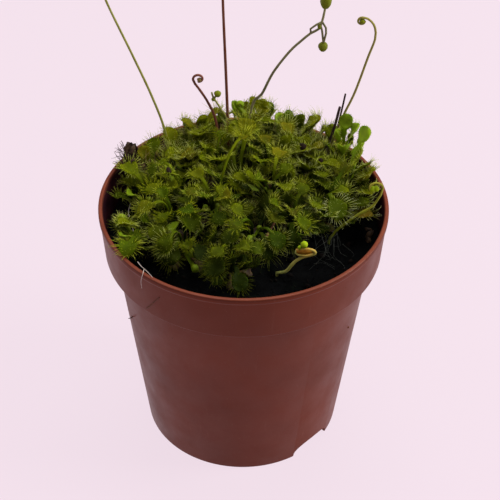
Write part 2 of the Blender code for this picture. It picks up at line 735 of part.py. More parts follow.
def make_soil(group):
    """The plug of peat: it fills the pot, domes at the back and has a hole for each stem."""
    floor = FLOOR_UNDERSIDE + FLOOR_THICKNESS + GAP
    step_z = POT_HEIGHT - BAND_HEIGHT
    edge_z = POT_HEIGHT - SOIL_EDGE_DROP
    low, waist = floor + 1.2, step_z - STEP_DEPTH
    side = WALL + GAP
    profile = [(0.0, edge_z)]
    edge_radius = band_radius(edge_z) - side
    for ring in range(1, SOIL_RINGS + 1):
        profile.append((edge_radius * ring / SOIL_RINGS, edge_z))
    profile += [
        (BAND_FOOT_RADIUS - side, step_z + WALL * 0.6),
        (STEP_RADIUS - side - 0.2, waist - 0.2),
        (band_radius(low) - side - 0.1, low),
        (band_radius(low) - side - 1.4, floor),
        (0.0, floor),
    ]
    soil = turned("soil", profile, SOIL_SIDES, group)
    apply_modifiers(soil)
    for vertex in soil.data.vertices:
        if abs(vertex.co.z - edge_z * MM) < 1e-6:
            x, y = vertex.co.x / MM, vertex.co.y / MM
            vertex.co.z = soil_top(x, y) * MM
    cutters = helpers("soil_cutters")
    for name, x, y, *_ in CROWNS:
        ground = soil_top(x, y)
        cylinder(f"hole_{name}", x, y, ground - PEG_DEPTH - GAP, ground + 3,
                 PEG_RADIUS + GAP + 0.1, 6, cutters)
    for stalk in STALKS:
        x, y = stalk.foot
        ground = soil_top(x, y)
        cylinder(f"hole_{stalk.name}", x, y, ground - STALK_HOLE_DEPTH - GAP, ground + 3,
                 stalk.thick + GAP + 0.1, 6, cutters)
    cut_away(soil, cutters)
    dress(soil, "peat")


def make_rosette(entry, leaves, group):
    """One rosette: a stub of stem with a peg in the peat, and its leaves fused round it."""
    name, x, y, *_ = entry
    ground = soil_top(x, y)
    crown = cylinder(f"rosette_{name}", x, y, ground - PEG_DEPTH, ground + CROWN_RISE,
                     PEG_RADIUS, 6, group, top_radius=CROWN_TOP_RADIUS)
    spray = helpers("spray")
    for index, leaf in enumerate(leaves):
        points, faces = leaf_shape(leaf)
        new_object(f"leaf_{index}", mesh_of(f"leaf_{index}", points, faces), spray)
    fuse(crown, spray)
    dress(crown, "leaf_green")


def tube_along(name, chain, thick, thin, group):
    """A closed tapering tube along a chain of points, made from a bevelled curve."""
    curve = bpy.data.curves.new(name, "CURVE")
    curve.dimensions = "3D"
    curve.bevel_depth = thick * MM
    curve.bevel_resolution = 0
    curve.use_fill_caps = True
    spline = curve.splines.new("POLY")
    spline.points.add(len(chain) - 1)
    for index, point in enumerate(chain):
        spline.points[index].co = (*(point * MM), 1.0)
        taper = index / (len(chain) - 1)
        spline.points[index].radius = 1 + taper * (thin / thick - 1)
    guide = new_object(name + "_guide", curve, group)
    bpy.context.view_layer.update()
    graph = bpy.context.evaluated_depsgraph_get()
    mesh = bpy.data.meshes.new_from_object(guide.evaluated_get(graph))
    shape = bmesh.new()
    shape.from_mesh(mesh)
    bmesh.ops.remove_doubles(shape, verts=shape.verts, dist=1e-6)
    bmesh.ops.recalc_face_normals(shape, faces=shape.faces)
    shape.to_mesh(mesh)
    shape.free()
    tube = new_object(name, mesh, group)
    tube.matrix_world = guide.matrix_world
    bpy.data.objects.remove(guide)
    return tube


def make_stalk(stalk, group):
    """A flower stalk: a thin tapering tube along its route, with twigs and buds fused on."""
    tube = tube_along(stalk.name, stalk_route(stalk), stalk.thick, stalk.thin, group)
    if stalk.buds or stalk.row:
        buds = helpers("buds")
        for index, twig in enumerate(stalk.twigs):
            tube_along(f"twig_{index}", [Vector(point) for point in twig],
                       TWIG_RADIUS, TWIG_RADIUS, buds)
        for index, (x, y, z, wide, tall) in enumerate(stalk.buds + curl_buds(stalk)):
            bud_mesh = bpy.data.meshes.new("bud")
            shape = bmesh.new()
            bmesh.ops.create_icosphere(shape, subdivisions=1, radius=wide * BUD_SWELL * MM)
            bmesh.ops.scale(shape, verts=shape.verts, vec=(1, 1, tall / wide))
            bmesh.ops.translate(shape, verts=shape.verts, vec=Vector((x, y, z)) * MM)
            shape.to_mesh(bud_mesh)
            shape.free()
            new_object(f"bud_{index}", bud_mesh, buds)
        fuse(tube, buds)
    dress(tube, stalk.colour, smooth=True)


def main():
    for thing in list(bpy.data.objects):
        bpy.data.objects.remove(thing)
    group = bpy.data.collections.new("potted_sundew")
    bpy.context.scene.collection.children.link(group)
    make_pot(group)
    make_soil(group)
    leaves = grow_leaves()
    for entry in CROWNS:
        make_rosette(entry, [leaf for leaf in leaves if leaf.crown == entry[0]], group)
    for stalk in STALKS:
        make_stalk(stalk, group)


main()
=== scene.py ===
"""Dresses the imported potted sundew: a moulded pot, damp peat, rosettes of spoon leaves with
their fringes of tentacles, flower stalks, moss and litter, on a pale floor in soft light.

Sizes and places are in millimetres and become metres through MM when a mesh is made. The rule
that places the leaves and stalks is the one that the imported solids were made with, so every
blade drawn here lies over its solid.
"""

import json
import math
import random
from collections import namedtuple

import bmesh
import bpy
import numpy as np
from mathutils import Matrix, Vector, noise
from mathutils.bvhtree import BVHTree

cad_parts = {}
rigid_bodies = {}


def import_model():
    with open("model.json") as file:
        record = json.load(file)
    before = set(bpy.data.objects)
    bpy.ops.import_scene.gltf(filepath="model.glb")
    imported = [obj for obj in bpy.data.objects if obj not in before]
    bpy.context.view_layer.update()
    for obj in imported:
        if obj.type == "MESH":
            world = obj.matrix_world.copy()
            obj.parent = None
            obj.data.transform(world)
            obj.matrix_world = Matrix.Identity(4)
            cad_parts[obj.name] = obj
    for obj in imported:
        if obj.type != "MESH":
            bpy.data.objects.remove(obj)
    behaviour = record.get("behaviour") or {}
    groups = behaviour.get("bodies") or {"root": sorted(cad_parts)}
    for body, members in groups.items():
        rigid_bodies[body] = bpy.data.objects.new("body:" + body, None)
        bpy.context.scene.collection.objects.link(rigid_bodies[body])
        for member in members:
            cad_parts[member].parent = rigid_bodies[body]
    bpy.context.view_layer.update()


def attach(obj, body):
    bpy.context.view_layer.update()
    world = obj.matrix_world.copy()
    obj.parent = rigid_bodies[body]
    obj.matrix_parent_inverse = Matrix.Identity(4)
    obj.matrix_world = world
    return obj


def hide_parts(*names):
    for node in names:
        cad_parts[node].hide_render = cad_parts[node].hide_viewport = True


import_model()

bl_info = {
    "name": "Potted sundew",
    "version": (1, 0, 0),
    "blender": (4, 5, 0),
    "location": "View3D > Sidebar > Sundew",
    "description": "Builds the finish, foliage and light of a small potted sundew",
    "category": "Object",
}

MM = 0.001
GAP = 0.3

# Pot
RIM_RADIUS = 42.5
POT_HEIGHT = 81.7
WALL = 1.0
LIP_WIDTH = 1.25
LIP_DEPTH = 1.6
LIP_PROUD = 0.35
LIP_ROUND = 0.35
BAND_HEIGHT = 15.4
BAND_FOOT_RADIUS = 41.06
STEP_RADIUS = 38.04
STEP_DEPTH = 0.9
FOOT_RADIUS = 29.87
FOOT_WIDTH = 1.8
FLOOR_UNDERSIDE = 5.4
FLOOR_THICKNESS = 1.2
POT_SIDES = 44
NOTCH_AZIMUTHS = (-43.0, 137.0)
NOTCH_WIDTH = 15.0
NOTCH_HEIGHT = 4.6
DRAIN_COUNT = 5
DRAIN_RADIUS = 2.6
DRAIN_CIRCLE = 17.0

# Peat
SOIL_EDGE_DROP = 11.0
SOIL_DOME = 5.5
DOME_CENTRE = (0.0, 13.0)
DOME_SPREAD = 27.0
SOIL_SIDES = 28
SOIL_RINGS = 4

# Crowns and leaves
PEG_RADIUS = 1.3
PEG_DEPTH = 5.0
CROWN_TOP_RADIUS = 0.95
CROWN_RISE = 2.4
OPEN_ROUND_CROWN = 2.0
OPEN_ABOVE_CROWN = 8.0
ROOT_ZONE = 1.6
CROSSING_ZONE = 2.6
LEAF_THICKNESS = 0.62
LAMINA_LENGTH_RATIO = 1.12
TEETH = 6
TOOTH = 2.3
TOOTH_LIFT = 0.4
PETIOLE_WIDTH = 0.95
CLEAR = 0.2
WALL_CLEARANCE = 39.6
CANOPY_HEIGHT = 84.6
CANOPY_SWELLS = ((0.0, 7.0, 20.0, 4.0), (1.0, 31.0, 12.0, 7.0), (31.0, 22.0, 8.0, 3.5))
FULL_ROSETTE = 7
GOLDEN_ANGLE = 137.5
SEED = 28

# Stalks
STALK_HOLE_DEPTH = 6.0
STALK_STEP = 7.5
CURL_STEP = 32.0
TWIG_RADIUS = 0.32
BUD_SWELL = 1.08

# Each crown: name, x, y, leaves that grow by rule, reach of its lowest leaves, extra height
# at which it holds them
CROWNS = (
    ("a", -9.0, 0.0, 6, 10.5, 0.5),
    ("b", -29.5, 8.0, 6, 9.0, 0.5),
    ("c", -21.0, -3.0, 6, 9.5, 0.5),
    ("d", -30.0, -9.0, 6, 8.0, 0.0),
    ("e", -17.0, -12.5, 6, 9.0, 0.0),
    ("f", -4.0, -20.0, 5, 8.5, 0.0),
    ("g", 3.0, -9.5, 6, 10.0, 0.0),
    ("h", 13.5, -4.0, 5, 10.5, 0.5),
    ("i", 23.5, 1.5, 5, 10.0, 0.5),
    ("j", 8.5, 6.5, 6, 10.0, 1.0),
    ("k", -2.0, 10.0, 5, 11.0, 1.5),
    ("l", -18.5, 9.5, 6, 9.5, 0.5),
    ("m", -28.0, 19.0, 6, 9.0, 1.5),
    ("n", 19.0, 11.5, 6, 9.5, 1.0),
    ("o", 31.0, 12.5, 5, 8.5, 2.0),
    ("p", 7.5, 18.5, 6, 10.0, 2.0),
    ("q", -8.0, 20.0, 6, 10.0, 2.0),
    ("r", -17.5, 22.0, 6, 9.5, 1.0),
    ("s", 16.5, 22.0, 6, 10.0, 2.5),
    ("t", 29.5, 21.5, 6, 9.5, 3.5),
    ("u", -13.0, 32.5, 6, 8.0, 2.5),
    ("v", 5.0, 32.0, 6, 9.0, 5.0),
    ("w", 15.0, 32.0, 6, 8.0, 3.5),
)

# Leaves that stand out in the stand: crown, lamina centre x, y, z, tilt in degrees, width
MARKED_LEAVES = (
    ("h", 19.0, -7.0, 81.0, -38, 5.6),
    ("i", 27.0, -4.5, 82.5, -40, 5.6),
    ("h", 14.0, -13.0, 79.0, -45, 5.2),
    ("g", 7.0, -18.0, 79.5, -40, 5.6),
    ("g", -3.5, -15.5, 80.5, -25, 5.2),
    ("f", -1.0, -29.5, 77.0, -40, 5.0),
    ("f", -9.0, -25.5, 78.5, -30, 5.0),
    ("j", 7.0, 0.0, 82.0, -30, 5.0),
    ("k", 0.9, 24.0, 91.5, 25, 5.4),
    ("e", -20.5, -20.5, 79.0, -30, 5.2),
    ("e", -12.0, -18.5, 79.0, -25, 5.0),
    ("c", -15.5, -9.5, 81.0, -20, 5.4),
    ("c", -24.5, -12.0, 80.5, -20, 5.2),
    ("d", -34.5, -19.0, 82.5, -10, 5.0),
    ("b", -34.0, 12.0, 84.5, 10, 5.2),
    ("i", 35.0, -2.0, 79.5, 12, 5.2),
)

# Young leaves, still rolled into a club: crown, head x, y, z
YOUNG_LEAVES = (
    ("w", 11.0, 30.5, 92.0),
    ("o", 34.5, 18.0, 90.5),
    ("e", -14.5, -17.0, 77.0),
    ("d", -35.0, -7.0, 81.0),
    ("b", -31.5, 6.0, 82.5),
    ("v", -1.0, 33.5, 93.5),
    ("g", 0.5, -12.5, 80.0),
)

# A stalk rises from its foot along its route, a chain of points, and may end in a curl.
# Curl: centre x, z, first and last radius, first angle, degrees turned (negative is clockwise)
# Row: how many buds stand along the curl's outer side, and their half width
# Twigs: chains of points of side stems. Buds: x, y, z, half width, half height
Stalk = namedtuple("Stalk", "name foot route thick thin curl row twigs buds colour")
STALKS = (
    Stalk(
        "stalk_left", (-22.6, 27.2),
        ((-24.0, 28.0, 86.7), (-27.9, 29.7, 98.8), (-33.1, 31.3, 111.9), (-40.3, 33.0, 129.9),
         (-41.2, 33.2, 136.5)),
        0.42, 0.30, (-38.5, 137.5, 2.7, 1.3, 180.0, -300.0), (5, 0.8), (), (), "stalk_green",
    ),
    Stalk(
        "stalk_middle", (-4.4, 26.2),
        ((-4.9, 27.0, 89.9), (-5.5, 27.8, 107.6), (-6.4, 29.0, 132.7), (-6.2, 29.2, 139.5)),
        0.50, 0.34, (-3.7, 140.6, 2.5, 1.2, 180.0, -300.0), (5, 0.8), (), (), "stalk_red",
    ),
    Stalk(
        "stalk_hook", (-7.2, 28.6),
        ((-8.6, 30.0, 89.0), (-10.6, 30.3, 95.0), (-12.9, 30.4, 99.5), (-14.8, 30.5, 102.5)),
        0.44, 0.36, (-13.75, 104.2, 1.65, 1.0, 205.0, -300.0), None, (), (), "stalk_red",
    ),
    Stalk(
        "stalk_short", (-3.2, 30.6),
        ((-4.6, 30.4, 88.0), (-6.6, 30.2, 92.5), (-8.3, 30.0, 96.0), (-9.4, 30.0, 98.0),
         (-9.8, 30.0, 99.7)),
        0.36, 0.30, None, None, (((-9.2, 30.0, 97.3), (-8.7, 30.0, 98.2), (-8.1, 30.0, 99.0)),),
        ((-8.05, 30.0, 99.2, 1.1, 1.1), (-9.3, 30.0, 97.2, 0.65, 0.65)), "stalk_green",
    ),
    Stalk(
        "stalk_right", (-0.2, 27.6),
        ((2.3, 30.0, 94.8), (5.2, 30.0, 99.3), (8.4, 30.0, 107.0), (13.0, 30.0, 114.4),
         (16.3, 30.0, 118.2), (19.1, 30.0, 121.0), (21.4, 30.0, 122.5), (22.3, 30.0, 125.1),
         (22.8, 30.0, 128.0), (23.3, 30.0, 132.0), (23.6, 30.0, 136.2)),
        0.44, 0.32, None, None,
        (((19.2, 30.0, 121.0), (19.0, 30.0, 122.5), (20.6, 30.0, 123.9), (22.2, 30.0, 124.9)),
         ((22.3, 30.0, 125.0), (23.5, 30.0, 122.9), (23.6, 30.0, 121.0), (22.9, 30.0, 117.2))),
        ((23.2, 30.0, 131.8, 1.7, 2.7), (22.9, 30.0, 116.4, 1.45, 1.6),
         (23.7, 30.0, 136.8, 0.8, 1.0)), "stalk_grey",
    ),
    Stalk(
        "stalk_far_right", (23.3, 27.8),
        ((26.5, 26.8, 83.0), (29.6, 26.0, 94.3), (32.7, 26.0, 103.1), (35.9, 26.0, 115.5),
         (37.6, 26.0, 121.8), (37.4, 26.0, 125.6), (36.3, 26.0, 127.7), (35.0, 26.0, 128.8)),
        0.42, 0.32, (33.5, 127.9, 1.25, 0.85, 62.0, 300.0), None, (),
        ((33.6, 26.0, 127.9, 0.8, 0.8),), "stalk_grey",
    ),
    Stalk(
        "stub_dark", (22.4, 25.2), ((26.5, 25.0, 88.3), (28.4, 25.0, 98.3)),
        0.42, 0.36, None, None, (), (), "stub_brown",
    ),
    Stalk(
        "stub_thin", (25.9, 28.3), ((29.1, 28.5, 93.6), (30.1, 28.5, 100.6)),
        0.32, 0.30, None, None, (), (), "stub_brown",
    ),
    Stalk(
        "stalk_curled", (25.0, -7.0),
        ((26.8, -6.2, 76.2), (33.2, -5.2, 81.8), (37.2, -4.4, 84.2), (39.5, -3.8, 88.0)),
        0.40, 0.30, (37.9, 90.5, 2.15, 1.6, -5.0, 220.0), None, (),
        ((37.0, -3.7, 90.1, 0.85, 1.05), (38.2, -3.7, 90.2, 0.85, 0.95)), "stalk_yellow",
    ),
    Stalk(
        "shoot_pale", (9.8, -20.6),
        ((12.1, -20.9, 73.3), (13.6, -20.8, 75.4), (15.0, -20.5, 77.1), (17.2, -20.3, 78.5),
         (19.8, -20.1, 79.2), (20.5, -20.0, 79.9), (19.6, -19.8, 80.6), (17.4, -19.7, 80.9),
         (15.1, -19.6, 80.3)),
        0.62, 0.55, None, None, (),
        ((17.3, -19.6, 82.5, 1.05, 1.15), (16.0, -19.6, 81.4, 0.6, 0.65)), "shoot_cream",
    ),
)

# Finer steps for the drawn stems
FINE_STALK_STEP = 1.6
FINE_CURL_STEP = 12.0
STALK_SLIM = 0.95

# Leaf skin and tentacles
PETIOLE_RINGS = 8
SKIN_SIDES = 12
BLADE_STATIONS = (-0.97, -0.85, -0.68, -0.45, -0.2, 0.05, 0.3, 0.52, 0.7, 0.84, 0.94, 0.99)
BLADE_HALF_THICKNESS = 0.28
NECK_SHARE = 0.30
CREST_TRIES = 900
FRINGE_FOOT = 0.066
FRINGE_TIP = 0.042
DROP_RADIUS = 0.085
SMALL_TOOTH = 0.3
COIL_SCALE = 1.28

# How each marked leaf has aged, by its blade's x and y: ripe, rust, how pale its tips are and
# how much longer than usual its tentacles are
MARKED_AGES = {
    (19.0, -7.0): (0.35, 0.00, 1.0, 1.20),
    (27.0, -4.5): (0.25, 0.00, 1.0, 1.15),
    (14.0, -13.0): (0.15, 0.00, 0.8, 1.10),
    (7.0, -18.0): (0.30, 0.00, 0.6, 1.10),
    (-3.5, -15.5): (0.30, 0.00, 0.5, 1.00),
    (-1.0, -29.5): (0.00, 0.00, 0.1, 0.90),
    (-9.0, -25.5): (0.05, 0.00, 0.1, 0.90),
    (7.0, 0.0): (0.65, 0.05, 0.5, 1.10),
    (0.9, 24.0): (0.85, 0.10, 0.2, 1.75),
    (35.0, -2.0): (1.00, 0.42, 1.0, 1.25),
    (-34.0, 12.0): (0.75, 0.00, 0.3, 1.00),
}

# Leaves that only the finished plant has: crown, blade centre x, y, z, tilt, width and kind.
# A fresh one is smooth and half rolled, a fringed one is open, a coiled one is still a ball,
# a round one is smooth and flat, and a spider has the longest tentacles.
EXTRA_LEAVES = (
    ("t", 30.6, 24.4, 93.4, 62, 4.4, "round"),
    ("t", 33.2, 21.4, 92.0, 58, 4.8, "fresh"),
    ("t", 27.6, 21.5, 90.2, 82, 3.6, "fresh"),
    ("t", 29.6, 17.0, 88.6, 60, 4.2, "fresh"),
    ("o", 33.8, 14.0, 88.8, 55, 4.2, "fresh"),
    ("o", 36.4, 9.0, 86.6, 35, 4.6, "ripe"),
    ("o", 36.6, 5.0, 82.6, 30, 4.4, "ripe"),
    ("o", 35.4, 16.4, 94.6, 52, 4.7, "round"),
    ("i", 34.6, 1.6, 81.0, 12, 4.2, "fringed"),
    ("a", -0.4, 18.2, 92.4, -14, 3.2, "spider"),
    ("w", 9.8, 33.5, 86.6, 80, 4.6, "fresh"),
    ("w", 14.2, 34.6, 84.8, 68, 4.4, "fringed"),
    ("w", 19.6, 31.5, 87.4, 58, 5.2, "fringed"),
    ("w", 23.8, 28.2, 86.4, 60, 4.4, "fringed"),
    ("w", 17.4, 34.4, 86.0, 74, 4.2, "fringed"),
    ("w", 21.8, 32.6, 87.0, 66, 4.4, "fringed"),
    ("t", 26.2, 28.4, 86.8, 72, 4.2, "fringed"),
    ("t", 28.8, 26.4, 88.0, 78, 3.8, "fresh"),
    ("w", 11.4, 36.0, 85.4, 78, 4.0, "fringed"),
    ("v", 5.4, 34.6, 91.4, 66, 4.0, "ripe"),
    ("v", 2.6, 35.0, 92.4, 78, 3.6, "ripe"),
    ("v", 0.4, 35.4, 90.2, 72, 3.8, "ripe"),
    ("v", -3.4, 34.2, 91.6, 84, 3.4, "fresh"),
    ("v", -6.8, 34.4, 87.4, 70, 4.4, "fringed"),
    ("u", -12.4, 36.0, 84.0, 70, 4.4, "fringed"),
    ("u", -17.6, 33.4, 84.2, 62, 4.6, "fringed"),
    ("r", -22.6, 29.0, 84.6, 50, 4.6, "ripe"),
    ("d", -32.4, -22.4, 83.2, 4, 5.0, "fringed"),
    ("d", -34.2, -15.6, 81.4, 50, 3.2, "fresh"),
    ("b", -33.0, 4.4, 80.6, 40, 3.6, "fresh"),
    ("g", 1.9, -14.8, 80.4, 60, 2.8, "coiled"),
    ("e", -13.7, -23.2, 76.6, 20, 3.0, "coiled"),
)

# Where a dark, withered bud lies on the nearest leaf
WITHERED_BUDS = ((-21.4, 6.2, 85.0), (16.8, 21.3, 88.0), (21.7, 13.2, 86.0))

# How high the leaves stand along the back, from left to right: x and height
CREST = ((-27.0, 85.0), (-15.0, 87.5), (-8.0, 90.5), (-3.0, 95.0), (4.0, 94.5), (9.0, 89.5),
         (14.0, 88.0), (20.0, 90.5), (27.0, 91.0), (30.0, 96.0), (34.0, 94.5), (38.0, 87.5))

# How much of the floor's brightness is its own, like paper on a light table
FLOOR_GLOW = 0.92

# Where the photograph was taken from, and what it shows
FRAME_PIXELS = 500
FOCAL_PIXELS = 1692.5
SENSOR_WIDTH = 36.0
CAMERA_DISTANCE = 507.1
CAMERA_PITCH = 40.67
CAMERA_YAW = -0.30
CAMERA_ROLL = 0.64
AIM_HEIGHT = 63.47

FRINGE_GREEN = (0.38, 0.415, 0.006)
FRINGE_PALE = (0.95, 0.98, 0.60)
YOUNG_GREEN = (0.200, 0.290, 0.008)
RUST = (0.24, 0.060, 0.012)
DEAD_BROWN = (0.020, 0.010, 0.007)

# Spots of painted shade in the stand: middle x, y, reach and how much deeper it looks, in centimetres
PAINTED_SHADE_SPOTS = ((-6.0, -28.0, 14.0, 0.47), (20.0, 2.0, 18.0, 0.27), (0.0, 0.0, 14.0, 0.11),
                (-24.0, 0.0, 12.0, 0.08))


# The pot's wall and the peat's height, which everything planted keeps clear of

def band_radius(z):
    """Outer radius of the pot's wall at height z."""
    step_z = POT_HEIGHT - BAND_HEIGHT
    if z >= step_z:
        t = (z - step_z) / BAND_HEIGHT
        return BAND_FOOT_RADIUS + t * (RIM_RADIUS - LIP_PROUD - BAND_FOOT_RADIUS)
    return FOOT_RADIUS + (STEP_RADIUS - FOOT_RADIUS) * z / step_z


def inner_radius(z):
    """Inner radius of the pot at height z; the lip is no wider than LIP_WIDTH."""
    return min(band_radius(z) - WALL, RIM_RADIUS - LIP_WIDTH)


def soil_top(x, y):
    """Height of the peat at a point, lowest along the wall and domed towards the back."""
    reach = math.hypot(x - DOME_CENTRE[0], y - DOME_CENTRE[1]) / DOME_SPREAD
    return POT_HEIGHT - SOIL_EDGE_DROP + SOIL_DOME * math.exp(-reach * reach)


# The stand of leaves: where each leaf grows, kept clear of pot, peat, stalks and neighbours

Leaf = namedtuple("Leaf", "crown root centre azimuth tilt roll width young")


def leaf_axes(leaf):
    """Unit vectors of the lamina: along the leaf, to its left, and out of its upper face."""
    along = Vector((
        math.cos(leaf.tilt) * math.cos(leaf.azimuth),
        math.cos(leaf.tilt) * math.sin(leaf.azimuth),
        math.sin(leaf.tilt),
    ))
    left = Vector((-math.sin(leaf.azimuth), math.cos(leaf.azimuth), 0.0))
    up = along.cross(left)
    turned_left = left * math.cos(leaf.roll) + up * math.sin(leaf.roll)
    return along, turned_left, along.cross(turned_left)


def petiole_frame(leaf, t):
    """Point, heading, left side and upper side of the petiole, for t from 0 to 1."""
    along = leaf_axes(leaf)[0]
    start = Vector(leaf.root)
    end = Vector(leaf.centre) - along * (0.46 * LAMINA_LENGTH_RATIO * leaf.width)
    bend = end - along * (0.45 * (end - start).length)
    point = start * (1 - t) ** 2 + bend * (2 * t * (1 - t)) + end * t ** 2
    heading = ((bend - start) * (1 - t) + (end - bend) * t).normalized()
    level = Vector((-math.sin(leaf.azimuth), math.cos(leaf.azimuth), 0.0))
    side = level * math.cos(leaf.roll * t) + heading.cross(level) * math.sin(leaf.roll * t)
    return point, heading, side, heading.cross(side)


def spoon_leaf(leaf, extra=0.0, tooth=TOOTH):
    """Points and triangles of a petiole that widens into a blade with a toothed edge."""
    along, left, up = leaf_axes(leaf)
    half = LEAF_THICKNESS / 2 + extra
    half_width = leaf.width / 2 + extra
    half_length = half_width * LAMINA_LENGTH_RATIO
    centre = Vector(leaf.centre)
    left_edge, right_edge = [], []
    for t in (0.0, 0.55, 1.0):
        point, _, side, rise = petiole_frame(leaf, t)
        reach = side * (PETIOLE_WIDTH / 2 + extra * 0.6)
        left_edge.append((point + reach, rise))
        right_edge.append((point - reach, rise))
    blade = []
    neck = math.radians(14)
    steps = 2 * TEETH
    for i in range(1, steps):
        angle = math.pi - neck - i * (2 * math.pi - 2 * neck) / steps
        u, v, w = half_length * math.cos(angle), half_width * math.sin(angle), 0.0
        if i % 2:
            u += (tooth + extra) * math.cos(angle)
            v += (tooth + extra) * math.sin(angle)
            w = TOOTH_LIFT * tooth
        blade.append((centre + along * u + left * v + up * w, up))
    outline = left_edge + blade + right_edge[::-1]
    middle = (centre - up * 0.2, up)
    points = [p + n * half for p, n in outline + [middle]]
    points += [p - n * half for p, n in outline + [middle]]
    count = len(outline)
    heart, under = count, count + 1
    faces = []

    def both(a, b, c):
        faces.append((a, b, c))
        faces.append((c + under, b + under, a + under))

    last = count - 1
    for i in range(len(left_edge) - 1):
        both(i, last - i, i + 1)
        both(i + 1, last - i, last - i - 1)
    first, final = len(left_edge) - 1, last - len(left_edge) + 1
    for i in range(first, final):
        both(heart, i + 1, i)
    both(heart, first, final)
    for i in range(count):
        after = (i + 1) % count
        faces.append((i, after, after + under))
        faces.append((i, after + under, i + under))
    return points, faces


def young_leaf(leaf, extra=0.0):
    """Points and triangles of a young leaf: a stem with a rounded, rolled-up head."""
    sides = 6
    rings = []
    for t in (0.0, 0.5, 1.0):
        point, _, side, rise = petiole_frame(leaf, t)
        rings.append((point, side, rise, 0.5 + extra))
    along, left, up = leaf_axes(leaf)
    centre = Vector(leaf.centre)
    for place, swell in ((-0.22, 0.40), (0.12, 0.44), (0.42, 0.26)):
        rings.append((centre + along * (place * leaf.width), left, up, swell * leaf.width + extra))
    points, faces = [], []
    for point, side, rise, radius in rings:
        for k in range(sides):
            angle = 2 * math.pi * k / sides
            points.append(point + side * (radius * math.cos(angle)) + rise * (radius * math.sin(angle)))
    for ring in range(len(rings) - 1):
        for k in range(sides):
            a, b = ring * sides + k, ring * sides + (k + 1) % sides
            faces.append((a, b, b + sides))
            faces.append((a, b + sides, a + sides))
    points.append(rings[0][0])
    points.append(centre + along * (0.56 * leaf.width + extra))
    root, tip = len(points) - 2, len(points) - 1
    top = (len(rings) - 1) * sides
    for k in range(sides):
        after = (k + 1) % sides
        faces.append((root, after, k))
        faces.append((tip, top + k, top + after))
    return points, faces


def leaf_shape(leaf, extra=0.0):
    return young_leaf(leaf, extra) if leaf.young else spoon_leaf(leaf, extra)


def stalk_route(stalk, step=STALK_STEP, curl_step=CURL_STEP):
    """Smooth chain of points of a stalk, from its foot in the peat to the tip of its curl."""
    x, y = stalk.foot
    ground = soil_top(x, y)
    knots = [Vector((x, y, ground - STALK_HOLE_DEPTH)), Vector((x, y, ground + 1.0))]
    knots += [Vector(point) for point in stalk.route]
    chain = [knots[0]]
    for i in range(1, len(knots) - 1):
        before, a, b = knots[i - 1], knots[i], knots[i + 1]
        after = knots[i + 2] if i + 2 < len(knots) else b + (b - a)
        if i == 1:
            before = a - (b - a) * 0.4
        pieces = max(2, round((b - a).length / step))
        for k in range(pieces):
            t = k / pieces
            chain.append(0.5 * (
                a * 2 + (b - before) * t + (before * 2 - a * 5 + b * 4 - after) * t ** 2
                + (a * 3 - before - b * 3 + after) * t ** 3
            ))
    chain.append(knots[-1])
    if stalk.curl:
        cx, cz, wide, tight, start, turned = stalk.curl
        count = max(5, round(abs(turned) / curl_step))
        depth = knots[-1].y
        for k in range(1, count + 1):
            t = k / count
            angle = math.radians(start + turned * t)
            radius = wide + (tight - wide) * t
            chain.append(Vector((cx + radius * math.cos(angle), depth,
                                 cz + radius * math.sin(angle))))
    return chain


def curl_buds(stalk):
    """Buds in a row along the outer side of a curl: centre, half width and half height."""
    if not stalk.row:
        return ()
    cx, cz, wide, tight, start, turned = stalk.curl
    count, size = stalk.row
    found = []
    for k in range(count):
        t = (k + 0.6) / count
        angle = math.radians(start + turned * t)
        out = wide + (tight - wide) * t + size * 0.7
        found.append((cx + out * math.cos(angle), stalk.route[-1][1],
                      cz + out * math.sin(angle), size * (1 - 0.35 * t), size * 1.25 * (1 - 0.35 * t)))
    return tuple(found)


def stalk_hull(stalk):
    """A three-sided sleeve round a stalk and its buds, wide enough to keep leaves clear."""
    chain = stalk_route(stalk)
    reach = (stalk.thick + CLEAR) * 2
    points, faces = [], []
    for point in chain:
        for k in range(3):
            angle = 2 * math.pi * k / 3
            points.append(point + Vector((reach * math.cos(angle), reach * math.sin(angle), 0)))
    for ring in range(len(chain) - 1):
        for k in range(3):
            a, b = ring * 3 + k, ring * 3 + (k + 1) % 3
            faces += [(a, b, b + 3), (a, b + 3, a + 3)]
    for x, y, z, wide, tall in stalk.buds + curl_buds(stalk):
        first = len(points)
        w, h = wide + CLEAR, tall + CLEAR
        points += [Vector((x + dx * w, y + dy * w, z + dz * h)) for dx, dy, dz in
                   ((1, 0, 0), (0, 1, 0), (-1, 0, 0), (0, -1, 0), (0, 0, 1), (0, 0, -1))]
        for k in range(4):
            after = (k + 1) % 4
            faces.append((first + k, first + after, first + 4))
            faces.append((first + after, first + k, first + 5))
    return points, faces


def crown_hull(x, y):
    """A column over a crown, which the leaves of other rosettes stay out of."""
    ground = soil_top(x, y)
    reach = OPEN_ROUND_CROWN
    points = []
    for z in (ground - 1.0, ground + OPEN_ABOVE_CROWN):
        for k in range(6):
            angle = math.pi * k / 3
            points.append(Vector((x + reach * math.cos(angle), y + reach * math.sin(angle), z)))
    faces = []
    for k in range(6):
        after = (k + 1) % 6
        faces += [(k, after, after + 6), (k, after + 6, k + 6), (6, 6 + k, 6 + after)]
    return points, faces


def clear_of_pot_and_peat(points, faces):
    """True if every corner and edge middle lies inside the pot or over its rim, off the peat."""
    spots = list(points[:])
    for a, b, c in faces:
        spots += [(points[a] + points[b]) / 2, (points[b] + points[c]) / 2]
    for spot in spots:
        out = math.hypot(spot.x, spot.y)
        if spot.z < POT_HEIGHT + 0.5 and out > inner_radius(min(spot.z, POT_HEIGHT)) - 0.5:
            return False
        if out > RIM_RADIUS - 0.3:
            return False
        if spot.z < soil_top(spot.x, spot.y) + 0.45:
            return False
    return True


